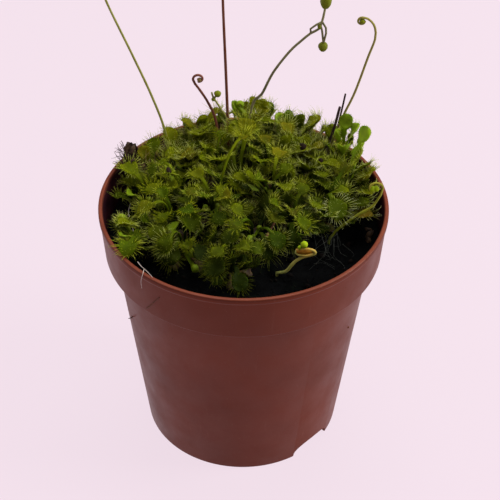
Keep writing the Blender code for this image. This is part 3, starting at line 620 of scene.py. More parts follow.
def canopy_top(x, y):
    """The greatest height of a blade's middle: a low dome over the rim, peaked at the back."""
    height = CANOPY_HEIGHT
    for cx, cy, spread, rise in CANOPY_SWELLS:
        reach = math.hypot(x - cx, y - cy) / spread
        height += rise * math.exp(-reach * reach)
    return height


def fit_to_wall(x, y, azimuth, out, tilt, blade):
    """Shorten and raise a leaf that would reach the wall: new reach, tilt and extra height."""
    heading = x * math.cos(azimuth) + y * math.sin(azimuth)
    room = -heading + math.sqrt(max(0.0, heading ** 2 + WALL_CLEARANCE ** 2 - x * x - y * y))
    need = out + blade * math.cos(math.radians(tilt))
    if need <= room:
        return out, tilt, 0.0
    share = max(0.0, min(1.0, room / need))
    out = max(2.6, out * share)
    upright = math.degrees(math.acos(max(0.12, min(1.0, (room - out) / blade))))
    return out, max(tilt, upright), 4.5 * (1 - share)


def grow_leaves():
    """Place every leaf, longest first, moving or dropping one that would cross a neighbour."""
    rng = random.Random(SEED)
    obstacles, siblings = [], []
    for stalk in STALKS:
        points, faces = stalk_hull(stalk)
        obstacles.append((None, BVHTree.FromPolygons(points, faces)))
    spots = {}
    for name, x, y, *_ in CROWNS:
        spots[name] = (x, y)
        points, faces = crown_hull(x, y)
        obstacles.append((name, BVHTree.FromPolygons(points, faces)))
    grown = []

    def try_leaf(leaf):
        points, faces = leaf_shape(leaf, CLEAR)
        tree = BVHTree.FromPolygons(points, faces)
        if any(owner != leaf.crown and tree.overlap(other) for owner, other in obstacles):
            return False
        points, faces = leaf_shape(leaf)
        outer = [f for f in faces if all(
            math.hypot(points[i].x - leaf.root[0], points[i].y - leaf.root[1]) > CROSSING_ZONE for i in f)]
        outer_tree = BVHTree.FromPolygons(points, outer)
        if any(outer_tree.overlap(other) for owner, other in siblings if owner == leaf.crown):
            return False
        body = [p for p in points if math.hypot(p.x - leaf.root[0], p.y - leaf.root[1]) > ROOT_ZONE]
        if len(body) < len(points) - 8:
            return False
        edges = [f for f in faces if all(
            math.hypot(points[i].x - leaf.root[0], points[i].y - leaf.root[1]) > ROOT_ZONE for i in f)]
        if not clear_of_pot_and_peat(points, edges):
            return False
        obstacles.append((leaf.crown, tree))
        siblings.append((leaf.crown, outer_tree))
        grown.append(leaf)
        return True

    def make(crown, lift, centre, tilt, roll, width, young=False):
        x, y = spots[crown]
        azimuth = math.atan2(centre[1] - y, centre[0] - x)
        root = (x + 0.5 * math.cos(azimuth), y + 0.5 * math.sin(azimuth), soil_top(x, y) + lift)
        return Leaf(crown, root, tuple(centre), azimuth, math.radians(tilt),
                    math.radians(roll), width, young)

    for crown, cx, cy, cz, tilt, width in MARKED_LEAVES:
        for lower, lean in ((0, 0), (1, 0), (-1, 0), (1, 12), (-1, -12), (2, 0), (3, 15)):
            if try_leaf(make(crown, 1.1, (cx, cy, cz + lower), tilt + lean, 0, width)):
                break
    for crown, cx, cy, cz in YOUNG_LEAVES:
        for lower in (0, 1, -1, 2):
            if try_leaf(make(crown, 1.9, (cx, cy, cz + lower), 62, 0, 3.2, True)):
                break
    most = max(entry[3] for entry in CROWNS)
    order = {entry[0]: index for index, entry in enumerate(CROWNS)}
    for rank in range(most):
        held = {name: sum(leaf.crown == name for leaf in grown) for name in spots}
        for crown, x, y, count, reach, stance in sorted(CROWNS, key=lambda e: held[e[0]]):
            if rank >= count or held[crown] >= FULL_ROSETTE:
                continue
            share = rank / (count - 1)
            ground = soil_top(x, y)
            width = rng.uniform(4.3, 5.4) * (1 - 0.22 * share)
            first = 47 * order[crown] + GOLDEN_ANGLE * rank + rng.uniform(-12, 12)
            out = reach * (1 - 0.55 * share) * rng.uniform(0.92, 1.08)
            high = 4.2 + stance + 7.5 * share + rng.uniform(-0.8, 0.8)
            outward = math.atan2(y - DOME_CENTRE[1] * 0.4, x)
            turn = 0
            for attempt in range(60):
                turn = -turn + (7 if turn <= 0 else 0)
                azimuth = math.radians(first + turn)
                shrink = 1 - 0.006 * attempt
                lift = high + 1.1 * (attempt % 7)
                tilt = -8 + 50 * share - 24 * math.cos(azimuth - outward) + 3 * (attempt % 4)
                roll = 16 * math.sin(azimuth - outward)
                blade = width * shrink * LAMINA_LENGTH_RATIO / 2 + TOOTH
                away, tilt, raised = fit_to_wall(x, y, azimuth, out * shrink, tilt, blade)
                cx, cy = x + away * math.cos(azimuth), y + away * math.sin(azimuth)
                centre = (cx, cy, min(ground + lift + raised, canopy_top(cx, cy)))
                if try_leaf(make(crown, 0.9 + 0.9 * share, centre, tilt, roll, width * shrink)):
                    break
    return grown


# Shapes: points and faces of one piece, with a finish and three shade values for each

class Shape:
    """Gathers the points and faces of one piece. Each point keeps how ripe, how rusty and
    how far from its root it is, from 0 to 1, and the finishes read these."""

    def __init__(self):
        self.points = []
        self.faces = []
        self.finishes = []
        self.shades = []

    def add(self, points, faces, finish, shades):
        """Add a loose shape; shades is one (ripe, rust, reach) for all, or one a point."""
        first = len(self.points)
        self.points += [tuple(point) for point in points]
        self.faces += [tuple(first + i for i in face) for face in faces]
        self.finishes += [finish] * len(faces)
        self.shades += [shades] * len(points) if isinstance(shades, tuple) else shades

    def loft(self, rings, finish, shades, root=None, tip=None):
        """Join rings of points into a skin, closed by a point or a flat cap at each end."""
        sides = len(rings[0])
        points = [point for ring in rings for point in ring]
        values = []
        for ring, shade in zip(rings, shades):
            values += shade if isinstance(shade, list) else [shade] * len(ring)
        faces = []
        for ring in range(len(rings) - 1):
            for k in range(sides):
                a, b = ring * sides + k, ring * sides + (k + 1) % sides
                faces.append((a, b, b + sides, a + sides))
        last = (len(rings) - 1) * sides
        if root is not None:
            faces += [(len(points), (k + 1) % sides, k) for k in range(sides)]
            points.append(root)
            values.append(values[0])
        else:
            faces.append(tuple(range(sides - 1, -1, -1)))
        if tip is not None:
            faces += [(len(points), last + k, last + (k + 1) % sides) for k in range(sides)]
            points.append(tip)
            values.append(values[last])
        else:
            faces.append(tuple(range(last, last + sides)))
        self.add(points, faces, finish, values)

    def thread(self, chain, radii, sides, finish, shades):
        """A thin tapering thread with a pointed tip along a short chain of points."""
        line = (chain[-1] - chain[0]).normalized()
        across = line.cross(Vector((0.31, 0.52, 0.8))).normalized()
        over = line.cross(across)
        rings = []
        for point, radius in zip(chain[:-1], radii):
            rings.append([
                point + (across * math.cos(2 * math.pi * k / sides)
                         + over * math.sin(2 * math.pi * k / sides)) * radius
                for k in range(sides)
            ])
        self.loft(rings, finish, shades[:-1], root=chain[0], tip=chain[-1])

    def drop(self, centre, line, radius, finish, shade):
        """A small bead, a little longer along its line than it is wide."""
        across = line.cross(Vector((0.31, 0.52, 0.8))).normalized()
        over = line.cross(across)
        long = line * (radius * 1.35)
        points = [centre + (across * math.cos(angle) + over * math.sin(angle)) * radius
                  for angle in (0.0, 2.094, 4.189)] + [centre + long, centre - long]
        faces = []
        for k in range(3):
            after = (k + 1) % 3
            faces += [(k, after, 3), (after, k, 4)]
        self.add(points, faces, finish, shade)

    def ball(self, centre, axes, rings, sides, finish, shade):
        """An egg shape from its three half axes; the last one points to its tip."""
        across, over, up = axes
        loops = []
        for ring in range(1, rings):
            angle = math.pi * ring / rings
            loops.append([
                centre - up * math.cos(angle)
                + (across * math.cos(2 * math.pi * k / sides)
                   + over * math.sin(2 * math.pi * k / sides)) * math.sin(angle)
                for k in range(sides)
            ])
        self.loft(loops, finish, [shade] * len(loops), root=centre - up, tip=centre + up)

    def make(self, name, finishes, slot, replaces=()):
        """Turn the gathered shape into a piece of the model, in metres."""
        mesh = bpy.data.meshes.new(name)
        mesh.from_pydata((np.array(self.points) * MM).tolist(), [], self.faces)
        mesh.update()
        for finish in finishes:
            mesh.materials.append(finish)
        mesh.polygons.foreach_set("material_index", self.finishes)
        for column, label in enumerate(("ripe", "rust", "reach")):
            layer = mesh.attributes.new(label, "FLOAT", "POINT")
            layer.data.foreach_set("value", [float(shade[column]) for shade in self.shades])
        # depth: how deep in the stand a point lies, with the painted shade spots; the finishes paint shade
        # by it
        layer = mesh.attributes.new("depth", "FLOAT", "POINT")
        layer.data.foreach_set("value", [depth_in_stand(*point) for point in self.points])
        mesh.shade_smooth()
        return place(name, mesh, slot, replaces)


def depth_in_stand(x, y, z):
    """How far under the tops of the leaves a point is, in centimetres, plus the painted shade spots; the
    finishes darken by it as painted shade."""
    low = max(0.0, canopy_top(x, y) - z) / 10
    return low + sum(depth * math.exp(-math.dist((x, y), (mx, my)) ** 2 / reach ** 2)
                     for mx, my, reach, depth in PAINTED_SHADE_SPOTS)


def place(name, mesh, slot, replaces=()):
    """Put a mesh in the scene as a piece that rides on the pot; the slot is not used."""
    piece = bpy.data.objects.new(name, mesh)
    bpy.context.scene.collection.objects.link(piece)
    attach(piece, "root")
    if replaces:
        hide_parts(*replaces)
    return piece


# Finishes: node materials, with helpers that return a node's output

class Finish:
    """A Principled material; constants go straight onto the shader's own sockets."""

    def __init__(self, name, constants):
        self.material = bpy.data.materials.new(name)
        self.material.use_nodes = True
        self.tree = self.material.node_tree
        self.shader = self.tree.nodes["Principled BSDF"]
        for socket, value in constants.items():
            self.shader.inputs[socket].default_value = value

    def node(self, kind, inputs=(), **settings):
        made = self.tree.nodes.new(kind)
        for key, value in settings.items():
            setattr(made, key, value)
        for socket, value in dict(inputs).items():
            if isinstance(value, bpy.types.NodeSocket):
                self.tree.links.new(value, made.inputs[socket])
            else:
                made.inputs[socket].default_value = value
        return made

    def place(self, stretch=(1.0, 1.0, 1.0)):
        """The point on the piece in metres, stretched along its axes."""
        where = self.node("ShaderNodeTexCoord").outputs["Object"]
        return self.node("ShaderNodeMapping", {"Vector": where, "Scale": stretch}).outputs[0]

    def height(self, axis="Z"):
        where = self.node("ShaderNodeTexCoord").outputs["Object"]
        return self.node("ShaderNodeSeparateXYZ", {"Vector": where}).outputs[axis]

    def shade(self, label):
        return self.node("ShaderNodeAttribute", attribute_name=label).outputs["Fac"]

    def noise(self, scale, detail=3.0, stretch=(1.0, 1.0, 1.0), distortion=0.0):
        return self.node("ShaderNodeTexNoise", {
            "Vector": self.place(stretch), "Scale": scale, "Detail": detail,
            "Roughness": 0.6, "Distortion": distortion}).outputs["Fac"]

    def cells(self, scale, stretch=(1.0, 1.0, 1.0)):
        return self.node("ShaderNodeTexVoronoi", {
            "Vector": self.place(stretch), "Scale": scale}).outputs["Distance"]

    def span(self, value, low, high, start=0.0, end=1.0):
        """Map a range of a value onto another, and clamp it there."""
        return self.node("ShaderNodeMapRange", {
            "Value": value, "From Min": low, "From Max": high,
            "To Min": start, "To Max": end}).outputs["Result"]

    def math(self, operation, a, b=0.0):
        return self.node("ShaderNodeMath", {0: a, 1: b}, operation=operation).outputs[0]

    def mix(self, factor, a, b):
        """Blend two colours; each is a socket or a colour of three numbers."""
        made = self.tree.nodes.new("ShaderNodeMix")
        made.data_type = "RGBA"
        for socket, value in ((0, factor), (6, a), (7, b)):
            if isinstance(value, bpy.types.NodeSocket):
                self.tree.links.new(value, made.inputs[socket])
            elif socket == 0:
                made.inputs[socket].default_value = value
            else:
                made.inputs[socket].default_value = (*value, 1.0)
        return made.outputs[2]

    def colour(self, socket):
        self.tree.links.new(socket, self.shader.inputs["Base Color"])

    def roughness(self, socket):
        self.tree.links.new(socket, self.shader.inputs["Roughness"])

    def bump(self, height, strength, distance):
        bump = self.node("ShaderNodeBump", {
            "Height": height, "Strength": strength, "Distance": distance * MM})
        self.tree.links.new(bump.outputs["Normal"], self.shader.inputs["Normal"])


def darker(colour, share):
    return tuple(share * part for part in colour)


def pot_plastic(settings):
    """Dull terracotta plastic: lighter on top of the lip, partly wear and partly painted highlight, with a
    band of painted shade just under it; lightly scuffed and dusted.
    """
    body = Finish("pot_plastic_worn", {"Specular IOR Level": 0.11})
    base = tuple(settings.pot_colour)
    cloud = body.span(body.noise(38.0, 4.0), 0.35, 0.65)
    colour = body.mix(cloud, darker(base, 0.90), darker(base, 1.10))
    scuff = body.span(body.noise(900.0, 2.0, (1.0, 1.0, 0.05)), 0.64, 0.80)
    colour = body.mix(body.math("MULTIPLY", scuff, 0.10), colour, (0.24, 0.11, 0.09))
    # Top of the lip: lighter, partly wear and partly painted highlight
    lip = body.span(body.height(), (POT_HEIGHT - 0.28) * MM, (POT_HEIGHT - 0.08) * MM)
    lip_wear_and_highlight = body.math("MULTIPLY", lip, body.span(body.noise(260.0, 3.0), 0.25, 0.75, 0.55, 1.0))
    colour = body.mix(lip_wear_and_highlight, colour, (0.170, 0.038, 0.018))
    # Painted shade: a dark band just under the top of the lip
    edge = body.span(body.height(), (POT_HEIGHT - 1.0) * MM, (POT_HEIGHT - 0.5) * MM, 0.0, 0.45)
    edge = body.math("MULTIPLY", edge, body.math("SUBTRACT", 1.0, lip))
    colour = body.mix(edge, colour, darker(base, 0.45))
    dust = body.span(body.noise(2600.0, 2.0), 0.68, 0.75)
    colour = body.mix(body.math("MULTIPLY", dust, 0.20), colour, (0.30, 0.20, 0.18))
    body.colour(colour)
    body.roughness(body.span(body.noise(120.0, 4.0), 0.3, 0.7, 0.36, 0.50))
    body.bump(body.noise(700.0, 3.0), 0.10, 0.10)
    return body.material


def painted_shade_wall():
    """The inside of the pot: the same plastic painted dark and purplish as painted shade, lighter just
    under the rim.
    """
    wall = Finish("pot_inside_stained", {"Specular IOR Level": 0.05})
    # Painted shade: the inner wall is nearly black and mottled, lighter only just under the rim
    shade_mottle = wall.span(wall.noise(240.0, 4.0), 0.35, 0.65)
    colour = wall.mix(shade_mottle, (0.0120, 0.0034, 0.0062), (0.032, 0.0060, 0.0100))
    unshaded_top = wall.span(wall.height(), (POT_HEIGHT - 1.3) * MM, (POT_HEIGHT - 0.3) * MM)
    colour = wall.mix(unshaded_top, colour, (0.085, 0.020, 0.012))
    wall.colour(colour)
    wall.roughness(wall.span(shade_mottle, 0.0, 1.0, 0.5, 0.8))
    wall.bump(wall.noise(900.0, 4.0), 0.3, 0.2)
    return wall.material


def damp_peat(settings):
    """Nearly black peat, with damp patches that shine a little."""
    peat = Finish("peat_damp", {"Specular IOR Level": 0.035})
    base = tuple(settings.peat_colour)
    grain = peat.span(peat.noise(1500.0, 5.0), 0.35, 0.7)
    colour = peat.mix(grain, darker(base, 0.45), base)
    ripe = peat.shade("ripe")
    colour = peat.mix(ripe, colour, (0.011, 0.007, 0.006))
    green = peat.span(peat.noise(160.0, 3.0), 0.58, 0.72)
    colour = peat.mix(peat.math("MULTIPLY", green, 0.55), colour, (0.003, 0.006, 0.003))
    peat.colour(colour)
    peat.roughness(peat.span(peat.noise(220.0, 2.0), 0.35, 0.65, 0.70, 1.0))
    peat.bump(peat.noise(1900.0, 5.0), 0.8, 0.5)
    return peat.material


def painted_stand_shade(finish):
    """How much painted shade darkens a piece low and deep in the stand and in its shade spots."""
    return finish.span(finish.shade("depth"), 0.06, 0.85, 0.0, 0.94)


def leaf_green(settings):
    """Soft leaf skin: green at the foot, yellower where it is ripe, red-brown with age, and darkened by
    painted shade low in the stand.
    """
    leaf = Finish("leaf_skin", {
        "Specular IOR Level": 0.03, "Subsurface Weight": 0.25, "Subsurface Scale": 0.7 * MM,
        "Subsurface Radius": (0.7, 1.0, 0.05)})
    green = tuple(settings.leaf_colour)
    ripe, rust, reach = leaf.shade("ripe"), leaf.shade("rust"), leaf.shade("reach")
    colour = leaf.mix(ripe, darker(green, 0.70), tuple(settings.ripe_colour))
    mottle = leaf.span(leaf.noise(520.0, 4.0), 0.32, 0.68)
    colour = leaf.mix(leaf.math("MULTIPLY", mottle, 0.35), colour, green)
    cells = leaf.span(leaf.cells(3600.0), 0.0, 0.55)
    colour = leaf.mix(leaf.math("MULTIPLY", cells, 0.22), colour, darker(green, 0.45))
    heart = leaf.span(reach, 0.60, 0.90, 0.45, 0.0)
    blade = leaf.math("GREATER_THAN", reach, 0.58)
    colour = leaf.mix(leaf.math("MULTIPLY", heart, blade), colour, darker(green, 0.50))
    blush = leaf.math("MULTIPLY", rust, leaf.span(reach, 0.50, 0.75))
    colour = leaf.mix(blush, colour, RUST)
    foot = leaf.span(reach, 0.0, 0.22, 0.6, 0.0)
    colour = leaf.mix(foot, colour, darker(green, 0.30))
    # Painted shade: darker low and deep in the stand
    colour = leaf.mix(painted_stand_shade(leaf), colour, darker(green, 0.12))
    leaf.colour(colour)
    leaf.roughness(leaf.span(mottle, 0.0, 1.0, 0.50, 0.70))
    leaf.bump(leaf.cells(2600.0), 0.35, 0.10)
    return leaf.material


def young_skin():
    """The plump, bright lime skin of a leaf that is still unrolling, darker by painted shade low in the
    stand; round leaves wear it too, partly as painted light.
    """
    young = Finish("young_leaf_skin", {
        "Specular IOR Level": 0.08, "Subsurface Weight": 0.35, "Subsurface Scale": 0.9 * MM,
        "Subsurface Radius": (0.7, 1.0, 0.05)})
    reach = young.shade("reach")
    tone = young.span(young.noise(300.0, 3.0), 0.35, 0.65)
    colour = young.mix(tone, darker(YOUNG_GREEN, 0.72), YOUNG_GREEN)
    colour = young.mix(young.span(reach, 0.0, 0.35, 0.6, 0.0), colour, darker(YOUNG_GREEN, 0.35))
    # Painted shade: darker low in the stand
    low = young.math("MULTIPLY", painted_stand_shade(young), 0.55)
    young.colour(young.mix(low, colour, darker(YOUNG_GREEN, 0.2)))
    young.roughness(young.span(tone, 0.0, 1.0, 0.40, 0.55))
    young.bump(young.cells(2400.0), 0.25, 0.08)
    return young.material


def tentacle_pale(settings):
    """Tentacle stalks: green at the blade and almost colourless towards the tip."""
    hair = Finish("tentacle_pale", {"Specular IOR Level": 0.05})
    pale, rust, reach = hair.shade("ripe"), hair.shade("rust"), hair.shade("reach")
    colour = hair.mix(hair.span(reach, 0.0, 0.5), tuple(settings.leaf_colour), FRINGE_GREEN)
    colour = hair.mix(hair.math("MULTIPLY", hair.span(reach, 0.2, 0.9), pale), colour, FRINGE_PALE)
    colour = hair.mix(hair.math("MULTIPLY", rust, 0.75), colour, (0.30, 0.10, 0.015))
    # Painted shade: darker low and deep in the stand
    colour = hair.mix(painted_stand_shade(hair), colour, darker(FRINGE_GREEN, 0.12))
    hair.colour(colour)
    hair.roughness(hair.span(reach, 0.0, 1.0, 0.5, 0.3))
    return hair.material


def dew_drop():
    """The clear sticky bead that a tentacle holds at its tip."""
    bead = Finish("dew_bead", {"Specular IOR Level": 0.25})
    rust = bead.shade("rust")
    colour = bead.mix(bead.shade("ripe"), darker(FRINGE_GREEN, 0.8), FRINGE_PALE)
    colour = bead.mix(rust, colour, (0.26, 0.08, 0.02))
    # Painted shade: darker low and deep in the stand
    bead.colour(bead.mix(painted_stand_shade(bead), colour, darker(FRINGE_GREEN, 0.2)))
    bead.roughness(bead.span(bead.noise(2000.0), 0.3, 0.7, 0.08, 0.22))
    return bead.material


def stem_finish(name, low, high, roughness=0.42, buds=(0.145, 0.170, 0.002)):
    """A satin stem that turns from one colour at its foot to another at its tip."""
    stem = Finish(name, {"Specular IOR Level": 0.06, "Subsurface Weight": 0.06,
                         "Subsurface Scale": 0.4 * MM})
    reach, ripe = stem.shade("reach"), stem.shade("ripe")
    colour = stem.mix(reach, low, high)
    streak = stem.span(stem.noise(900.0, 3.0, (1.0, 1.0, 0.18)), 0.40, 0.66)
    colour = stem.mix(stem.math("MULTIPLY", streak, 0.5), colour, darker(low, 0.55))
    colour = stem.mix(ripe, colour, buds)
    stem.colour(colour)
    stem.roughness(stem.span(streak, 0.0, 1.0, roughness, roughness + 0.2))
    stem.bump(stem.noise(2600.0, 3.0, (1.0, 1.0, 0.3)), 0.25, 0.05)
    return stem.material


def plain_finish(name, low, high, scale, roughness, bump=0.3):
    """A dry or fibrous finish that wavers between two colours."""
    dry = Finish(name, {"Specular IOR Level": 0.12})
    waver = dry.span(dry.noise(scale, 4.0), 0.32, 0.68)
    dry.colour(dry.mix(waver, low, high))
    dry.roughness(dry.span(waver, 0.0, 1.0, roughness, min(1.0, roughness + 0.15)))
    dry.bump(dry.noise(scale * 2, 4.0), bump, 0.15)
    return dry.material


# Leaves: skin, fringe and the young ones

# pale is how far the tentacles fade to white, skin is the number of the blade's finish
# and shag is how much longer than usual the tentacles on its face are
Habit = namedtuple("Habit", "cup curl ripe rust fringe count dots pale skin shag", defaults=(0,))


def blade_half_width(u):
    """Half width of a spoon blade, as a share, at u from -1 at its neck to 1 at its tip."""
    round_share = math.sqrt(max(0.0, 1 - u * u)) * (1 + 0.12 * u)
    return max(round_share, NECK_SHARE if u < 0 else 0.0)


def blade_spot(leaf, habit, u, v):
    """A point on the middle plane of the blade; v runs from -1 to 1 between its edges."""
    along, left, up = leaf_axes(leaf)
    half = leaf.width / 2
    own = leaf.centre[0] * 3.7 + leaf.centre[1]
    wide = blade_half_width(u) * (
        1 + 0.24 * noise.noise(Vector((u * 1.4, 2.0 if v > 0 else -2.0, own))))
    rise = habit.curl * max(0.0, u) ** 2 + habit.cup * (v * wide) ** 2
    rise += 0.34 * noise.noise(Vector((u * 1.3, v * 1.3, own)))
    return (Vector(leaf.centre) + along * (u * half * LAMINA_LENGTH_RATIO)
            + left * (v * wide * half) + up * (rise * half))


def leaf_skin(shape, leaf, habit, finish):
    """One closed skin: a petiole that widens like a wedge into a cupped, rimmed blade."""
    along, left, up = leaf_axes(leaf)
    rings, shades = [], []
    neck = NECK_SHARE * leaf.width / 2
    for k in range(PETIOLE_RINGS):
        t = k / PETIOLE_RINGS
        point, _, side, rise = petiole_frame(leaf, t)
        foot = PETIOLE_WIDTH / 2 * 0.85 * min(1, leaf.width / 4)
        wide = foot + (max(neck, foot) - foot) * t ** 2.6
        thick = 0.24 + 0.14 * (1 - t)
        ring = []
        for j in range(SKIN_SIDES):
            angle = 2 * math.pi * j / SKIN_SIDES
            trough = 0.10 * (1 - abs(math.cos(angle))) if math.sin(angle) > 0 else 0.0
            ring.append(point + side * (wide * math.cos(angle))
                        + rise * (thick * math.sin(angle) - trough))
        rings.append(ring)
        shades.append((habit.ripe * (0.4 + 0.3 * t), habit.rust * 0.5 * t, 0.45 * t))
    for u in BLADE_STATIONS:
        thick = BLADE_HALF_THICKNESS * (0.35 + 0.65 * math.sqrt(1 - u * u))
        ring, tones = [], []
        for j in range(SKIN_SIDES):
            angle = 2 * math.pi * j / SKIN_SIDES
            v = math.cos(angle)
            ring.append(blade_spot(leaf, habit, u, v) + up * (thick * math.sin(angle)))
            edge = max(u, 0.0) ** 2 + (v * blade_half_width(u)) ** 2
            tones.append((habit.ripe, habit.rust, 0.60 + 0.40 * min(1.0, edge)))
        rings.append(ring)
        shades.append(tones)
    tip = blade_spot(leaf, habit, 1.0, 0.0)
    shape.loft(rings, finish, shades, root=petiole_frame(leaf, 0.0)[0], tip=tip)


def tentacle(shape, foot, line, bend, length, steps, habit, thick, rng):
    """One tentacle: a bent tapering thread with a bead on its tip."""
    chain, radii, shades = [], [], []
    pale = habit.pale * rng.uniform(0.6, 1.0)
    for k in range(steps + 1):
        t = k / steps
        chain.append(foot + line * (length * t) + bend * (length * t * t))
        radii.append(FRINGE_FOOT * thick * (1 - t) + FRINGE_TIP * thick * t)
        shades.append((pale, habit.rust * (0.3 + 0.5 * t), t))
    shape.thread(chain, radii, 3, 1, shades)
    heading = (chain[-1] - chain[-2]).normalized()
    shape.drop(chain[-1], heading, DROP_RADIUS * thick * rng.uniform(0.75, 1.25), 2,
               (pale, habit.rust * rng.uniform(0.2, 1.0), 1.0))


def leaf_fringe(shape, leaf, habit, rng):
    """Long tentacles round the edge of a blade, and shorter ones over its upper face."""
    along, left, up = leaf_axes(leaf)
    half = leaf.width / 2
    down = Vector((0, 0, -1))
    stance = rng.uniform(0.0, 0.55)
    inward = rng.uniform(-0.1, 0.55)
    for k in range(habit.count):
        angle = math.radians(-150 + 300 * (k + rng.uniform(-0.35, 0.35)) / (habit.count - 1))
        u = 0.97 * math.cos(angle)
        v = 1.0 if angle > 0 else -1.0
        if abs(u) < 0.995:
            v *= min(1.0, abs(math.sin(angle)) / max(0.05, math.sqrt(1 - u * u)))
        foot = blade_spot(leaf, habit, u, v * 0.96)
        outward = along * math.cos(angle) + left * math.sin(angle)
        line = outward + up * (stance + rng.uniform(-0.25, 0.35)) + left * rng.uniform(-0.3, 0.3)
        bend = (up * rng.uniform(-0.15, 0.45) + down * rng.uniform(0.0, 0.35)
                - outward * (inward * rng.uniform(0.4, 1.0)))
        length = habit.fringe * rng.uniform(0.45, 1.1) * (0.85 + 0.15 * math.cos(angle))
        tentacle(shape, foot, line.normalized(), bend, length, 3, habit, 1.0, rng)
    short = habit._replace(pale=habit.pale * 0.5)
    for k in range(habit.dots):
        share = 0.25 + 0.68 * math.sqrt((k + rng.uniform(0.2, 1.0)) / habit.dots)
        angle = math.radians(GOLDEN_ANGLE * k + rng.uniform(-25, 25))
        u, v = share * math.cos(angle), share * math.sin(angle)
        foot = blade_spot(leaf, habit, u, v) + up * (BLADE_HALF_THICKNESS * 0.7)
        outward = along * math.cos(angle) + left * math.sin(angle)
        line = up + outward * (share * share * 1.3) + left * rng.uniform(-0.35, 0.35)
        length = habit.fringe * (0.06 + 0.60 * share ** 3 + habit.shag) * rng.uniform(0.6, 1.2)
        tentacle(shape, foot, line.normalized(), outward * 0.25, length, 2, short, 0.8, rng)


def crozier(shape, leaf, habit, rng):
    """A young leaf: a short stalk whose blade is still coiled up like a fiddlehead."""
    along, _, up = leaf_axes(leaf)
    left = up.cross(along)
    chain, sizes = [], []
    size = leaf.width * COIL_SCALE
    for k in range(7):
        chain.append(petiole_frame(leaf, k / 7)[0])
        sizes.append((size * (0.12 + 0.06 * k / 7), 0.11 * size))
    centre = Vector(leaf.centre) + along * (0.06 * size)
    for k in range(15):
        t = k / 14
        angle = math.radians(-140 + 410 * t)
        radius = size * (0.27 - 0.20 * t)
        chain.append(centre + (along * math.cos(angle + math.pi) * -1
                               + up * math.sin(angle)) * radius)
        sizes.append((size * (0.26 - 0.08 * t), size * (0.15 - 0.06 * t)))
    rings, shades = [], []
    for index, point in enumerate(chain):
        before = chain[max(0, index - 1)]
        after = chain[min(len(chain) - 1, index + 1)]
        heading = (after - before).normalized()
        out = left.cross(heading).normalized()
        wide, thick = sizes[index]
        rings.append([
            point + left * (wide * math.cos(2 * math.pi * j / 10))
            + out * (thick * math.sin(2 * math.pi * j / 10)) for j in range(10)
        ])
        shades.append((habit.ripe, habit.rust, 0.35 + 0.5 * index / len(chain)))
    shape.loft(rings, 4, shades, root=chain[0], tip=chain[-1])
    for k in range(12):
        angle = rng.uniform(0, 2 * math.pi)
        side = left if k % 2 else -left
        line = side * 0.8 + along * math.cos(angle) + up * math.sin(angle)
        foot = centre + line.normalized() * (0.24 * size)
        tentacle(shape, foot, line.normalized(), up * 0.1, 0.22 * size, 2, habit, 0.6, rng)


def habit_of(leaf, settings, rng, kind=""):
    """How one leaf has grown: its cup and curl, its age and the length of its fringe."""
    back = max(0.0, min(1.0, (leaf.centre[1] + 10) / 45))
    left = max(0.0, -leaf.centre[0] / 30)
    ripe = min(1.0, max(0.0, rng.gauss(0.30 + 0.50 * back + 0.15 * left, 0.34)))
    rust = min(0.16, max(0.0, rng.gauss(-0.22 + 0.16 * back, 0.20)))
    small = leaf.width < 4.2
    fringe = settings.fringe_length / MM * (0.80 if small else 1.0)
    count = round(settings.fringe_count * (0.76 if small else 1.0))
    pale = (rng.uniform(0.0, 0.50) + 0.1 * (leaf.centre[0] > 0)) * (0.4 if small else 1.0)
    habit = Habit(rng.uniform(-0.05, 0.62), rng.uniform(-0.60, 0.20), ripe, rust, fringe, count,
                  12 if small else 20, pale, 0)
    for spot, (ripe, rust, pale, longer) in MARKED_AGES.items():
        if math.dist(spot, leaf.centre[:2]) < 0.01:
            habit = habit._replace(ripe=ripe, rust=rust, pale=pale, fringe=fringe * longer,
                                   dots=round(20 * longer ** 2),
                                   shag=0.6 * max(0.0, longer - 1.2))
    if kind == "fresh":
        return habit._replace(cup=rng.uniform(0.5, 0.9), curl=rng.uniform(-0.2, 0.3), fringe=1.2,
                              count=20, dots=4, skin=4)
    if kind == "ripe":
        return habit._replace(ripe=1.0, rust=0.06, pale=0.3, dots=30, shag=0.2)
    # Round leaves wear the bright young skin: partly their own lime colour, partly painted light on blades
    # that face away from the lamps
    if kind == "round":
        return habit._replace(cup=0.12, curl=0.1, fringe=0.7, count=30, dots=0, skin=4)
    if kind == "spider":
        return habit._replace(cup=0.1, ripe=1.0, rust=0.16, pale=0.1, dots=40, shag=0.5, count=46,
                              fringe=1.7 * fringe)
    return habit


def leaf_tree(leaf, grow=0.0):
    """The space that a drawn leaf takes up, apart from its root and its fringe."""
    points, faces = young_leaf(leaf, grow) if leaf.young else spoon_leaf(leaf, grow, SMALL_TOOTH)
    x, y = leaf.root[:2]
    outer = [f for f in faces if all(
        math.hypot(points[i].x - x, points[i].y - y) > CROSSING_ZONE for i in f)]
    return points, outer, BVHTree.FromPolygons(points, outer)


def extra_leaf(crown, centre, tilt, roll, width, young=False):
    """A leaf from the crown of that name to a blade centre, with angles in degrees."""
    x, y = next(entry[1:3] for entry in CROWNS if entry[0] == crown)
    azimuth = math.atan2(centre[1] - y, centre[0] - x)
    root = (x + 0.5 * math.cos(azimuth), y + 0.5 * math.sin(azimuth), soil_top(x, y) + 0.9)
    return Leaf(crown, root, centre, azimuth, math.radians(tilt), math.radians(roll), width, young)


